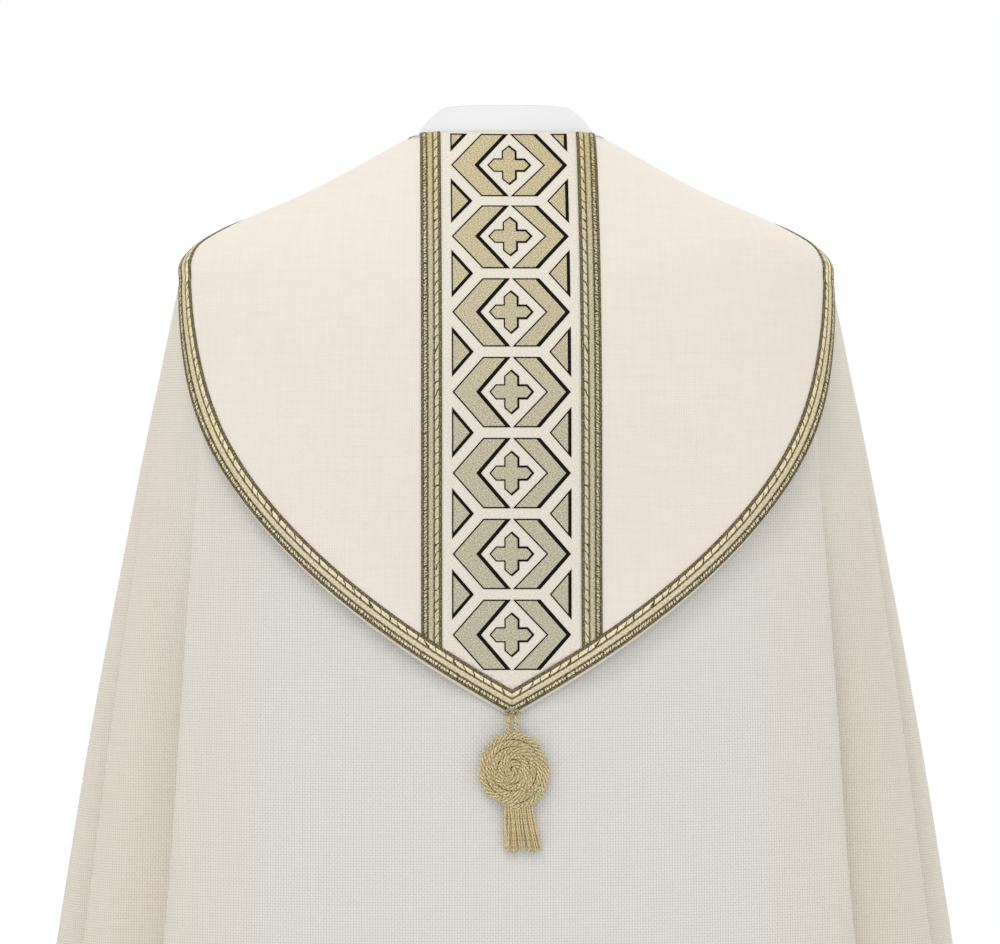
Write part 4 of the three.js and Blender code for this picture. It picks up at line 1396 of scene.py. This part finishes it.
# The medallion: a thick cord of four strands, coiled flat from its centre outwards. Its
# outer end is tucked behind at the bottom.
coil_centre, coil_size = middle_of("tassel_medallion"), size_of("tassel_medallion")
COIL_PITCH = 5.3
STRAND_RADIUS = 1.2
STRAND_ORBIT = 1.9
STRAND_PITCH = 19.0
COIL_TALLER = 1.06
END_TUCK = 0.5
END_TURN = -math.pi / 2 + 0.3
coil_outer = coil_size[0] / 2 - STRAND_ORBIT - STRAND_RADIUS + 1.9
coil_inner = 0.9
coil_end = 2 * math.pi * (coil_outer - coil_inner) / COIL_PITCH
theta = np.linspace(0, coil_end, 900)
tucked = smooth((theta - coil_end + END_TUCK) / END_TUCK)
coil_radius = coil_inner + COIL_PITCH * theta / (2 * math.pi) - 3.5 * tucked
coil_radius += 0.35 * np.sin(theta * 2.7) * smooth(theta / 6)
turn = theta - coil_end + END_TURN
coil_path = coil_centre + np.stack([
    coil_radius * np.cos(turn),
    1.2 * smooth(1 - coil_radius / coil_outer) + 0.35 * np.sin(theta * 1.9) - 2.0 * tucked,
    coil_radius * np.sin(turn) * COIL_TALLER], -1)
medallion = twisted(Shape(), coil_path, 4, STRAND_RADIUS, STRAND_ORBIT, STRAND_PITCH, sides=7,
                    squash=0.7).build("tassel_medallion_coil", cord_finish, merge=True)

# The coil is stitched to a disc of cloth behind it.
back_centre, back_size = middle_of("tassel_backing"), size_of("tassel_backing")
disc_radii = np.linspace(0.01, back_size[0] / 2, 12)
disc_turns = np.linspace(0, 2 * math.pi, 48, endpoint=False)
disc = back_centre + stacked(
    disc_radii[:, None] * np.cos(disc_turns),
    0.12 * np.sin(disc_radii[:, None] * 0.9 + disc_turns * 5),
    disc_radii[:, None] * np.sin(disc_turns))
disc_uv = np.concatenate([disc, disc[:, :1]], axis=1)[..., [0, 2]]
backing = Shape().grid(disc, disc_uv, wrap=True, flip=True).build(
    "tassel_backing_cloth", canvas_finish)
thicken(backing, back_size[1] * 0.8)

# Fringe: twisted threads in two ranks that hang from a wrapped heading.
fringe_low, fringe_high = (np.array(corner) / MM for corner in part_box("tassel_fringe"))
heading_centre, heading_half = middle_of("fringe_heading"), size_of("fringe_heading") / 2
THREAD_RADIUS = 0.62
THREAD_PITCH = 5.0
RANKS, THREADS = 2, 12
rng = np.random.default_rng(5)
fringe_shape = Shape()
fringe_top = heading_centre[2] + heading_half[2] + 3.5
room = 2 * THREAD_RADIUS
top_ends = (heading_centre[0] + heading_half[0] - room, heading_centre[0] - heading_half[0] + room)
bottom_ends = (fringe_high[0] - room, fringe_low[0] + room)
for rank in range(RANKS):
    for number in range(THREADS):
        share = (number + 0.25 + 0.5 * rank) / THREADS
        top_x = top_ends[0] + (top_ends[1] - top_ends[0]) * share
        bottom_x = bottom_ends[0] + (bottom_ends[1] - bottom_ends[0]) * share
        bottom_x = np.clip(bottom_x + rng.normal(0, 0.8), bottom_ends[1], bottom_ends[0])
        y = heading_centre[1] + 0.9 + (rank - 0.5) * 1.6 - 1.6 * smooth(1 - np.linspace(0, 4, 34))
        length = (fringe_top - fringe_low[2]) * rng.uniform(0.9, 0.985)
        down = np.linspace(0, 1, 34)
        sway = rng.normal(0, 0.5) * np.sin(down * math.pi * rng.uniform(0.8, 1.6))
        path = np.stack([top_x + (bottom_x - top_x) * down ** 1.3 + sway,
                         y + rng.normal(0, 0.25) * down, fringe_top - length * down], -1)
        twisted(fringe_shape, path, 2, THREAD_RADIUS, THREAD_RADIUS * 0.8, THREAD_PITCH,
                sides=5, start=rng.uniform(0, 6))
fringe = fringe_shape.build("tassel_fringe_threads", fringe_finish, merge=True)

# The heading is a bundle bound round with cord, behind the tops of the threads.
heading_shape = Shape()
turns_round = 22
wind = np.linspace(0, 2 * math.pi * turns_round, turns_round * 16)
half = heading_half - (3.5, 1.5, 1.2)
wrap = np.stack([np.linspace(-half[0], half[0], len(wind)),
                 half[1] * np.cos(wind) - 0.9, half[2] * np.sin(wind)], -1)
tube(heading_shape, heading_centre + wrap, 0.7, up=(1, 0, 0), sides=6)
heading = heading_shape.build("fringe_heading_binding", cord_finish, merge=True)

# Two cords carry the medallion, and a flat knot hides the hood's point.
cords = []
for side in ("left", "right"):
    centre, size = middle_of(f"tassel_cord_{side}"), size_of(f"tassel_cord_{side}")
    down = np.linspace(size[2] / 2 + 1.5, -size[2] / 2 - 1.5, 24)
    path = centre + np.stack([0 * down, 0 * down, down], -1)
    cord = twisted(Shape(), path, 3, 1.15, 1.3, 9.0, sides=7).build(
        f"tassel_cord_{side}_twist", cord_finish, merge=True)
    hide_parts(f"tassel_cord_{side}")
    cords.append(cord)

knot_centre = middle_of("tassel_knot")
KNOT_HALF_WIDTH = 4.8
knot_shape = Shape()
loop = np.linspace(0, 2 * math.pi, 90)
for tilt in (-1, 1):
    path = knot_centre + np.stack([
        KNOT_HALF_WIDTH * np.sin(loop), 0.9 * np.cos(3 * loop) + 0.4,
        1.5 * np.sin(2 * loop) * tilt + 0.3 * np.cos(loop)], -1)
    twisted(knot_shape, path, 2, 0.75, 0.6, 5.0, sides=6)
knot = knot_shape.build("tassel_knot_loops", knot_finish, merge=True)

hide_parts("tassel_medallion")
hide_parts("tassel_backing")
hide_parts("tassel_fringe")
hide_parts("fringe_heading")
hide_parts("tassel_knot")
for piece in (medallion, backing, fringe, heading):
    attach(piece, "tassel")
for cord in cords:
    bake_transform(cord)
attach(knot, "tassel_knot")

# ---------------------------------------------------------------- clasp

PETALS = 8
for side in ("left", "right"):
    centre, size = middle_of(f"clasp_plate_{side}"), size_of(f"clasp_plate_{side}")
    slope = math.atan2(size[1] - 2.2, size[2])
    radii = np.concatenate([[3.0], np.linspace(3.4, size[0] / 2, 26)])
    angles = np.linspace(0, 2 * math.pi, 96, endpoint=False)
    r, t = radii[:, None], angles[None, :]
    petal = 0.55 * np.abs(np.cos(PETALS / 2 * t)) * np.sin(np.clip((r - 6) / 9, 0, 1) * math.pi)
    rim = 0.6 * np.exp(-((r - size[0] / 2 + 1.6) / 0.9) ** 2)
    beads = 0.35 * np.exp(-((r - size[0] / 2 + 4.0) / 0.7) ** 2) * np.abs(np.cos(20 * t))
    height = np.broadcast_to(0.2 + petal + rim + beads, (len(radii), len(angles))).copy()
    height[0] = -0.6
    height[-1] = -0.9
    local = stacked(r * np.cos(t), -height, r * np.sin(t))
    axis = np.array((0, math.cos(slope), math.sin(slope)))
    lift = np.array((0, -math.sin(slope), math.cos(slope)))
    points = centre + local[..., :1] * np.array((1, 0, 0)) + local[..., 1:2] * axis \
        + local[..., 2:] * lift
    uv = stacked(np.linspace(0, 125, 97)[None, :], radii[:, None])
    rosette = Shape().grid(points, uv, wrap=True).build(f"clasp_rosette_{side}", gilt)
    thicken(rosette, 0.8)
    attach(rosette, "mantle")
    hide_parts(f"clasp_plate_{side}")

for name in ("clasp_pivot_pin", "clasp_stud", "clasp_hook"):
    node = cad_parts[name]
    node.data.materials.clear()
    node.data.materials.append(gilt)
    bevel = node.modifiers.new("edges", "BEVEL")
    bevel.width = 0.35 * MM
    bevel.segments = 2
    bevel.limit_method = "ANGLE"

# ---------------------------------------------------------------- floor and light

floor_material = bpy.data.materials.new("floor")
floor_material.use_nodes = True
floor_shader = floor_material.node_tree.nodes["Principled BSDF"]
floor_shader.inputs["Base Color"].default_value = (0.86, 0.86, 0.86, 1)
floor_shader.inputs["Roughness"].default_value = 0.9
bpy.ops.mesh.primitive_plane_add(size=10, location=(0, 0, cad_low.z - 0.002))
floor = bpy.context.object
floor.name = "floor"
floor.data.materials.append(floor_material)

world = bpy.data.worlds.new("studio")
world.use_nodes = True
world.node_tree.nodes["Background"].inputs[0].default_value = (1, 1, 1, 1)
world.node_tree.nodes["Background"].inputs[1].default_value = 1.0
bpy.context.scene.world = world


def area_light(name, location, target, size, power):
    data = bpy.data.lights.new(name, "AREA")
    data.shape, data.size, data.energy = "DISK", size, power
    light = bpy.data.objects.new(name, data)
    light.location = location
    light.rotation_euler = (Vector(target) - Vector(location)).to_track_quat("-Z", "Y").to_euler()
    bpy.context.scene.collection.objects.link(light)


chest = (0, 0, -0.35)
area_light("key", (0.9, 2.2, 2.6), chest, 1.2, 24)
area_light("fill", (-2.4, -2.6, 0.9), chest, 2.2, 14)
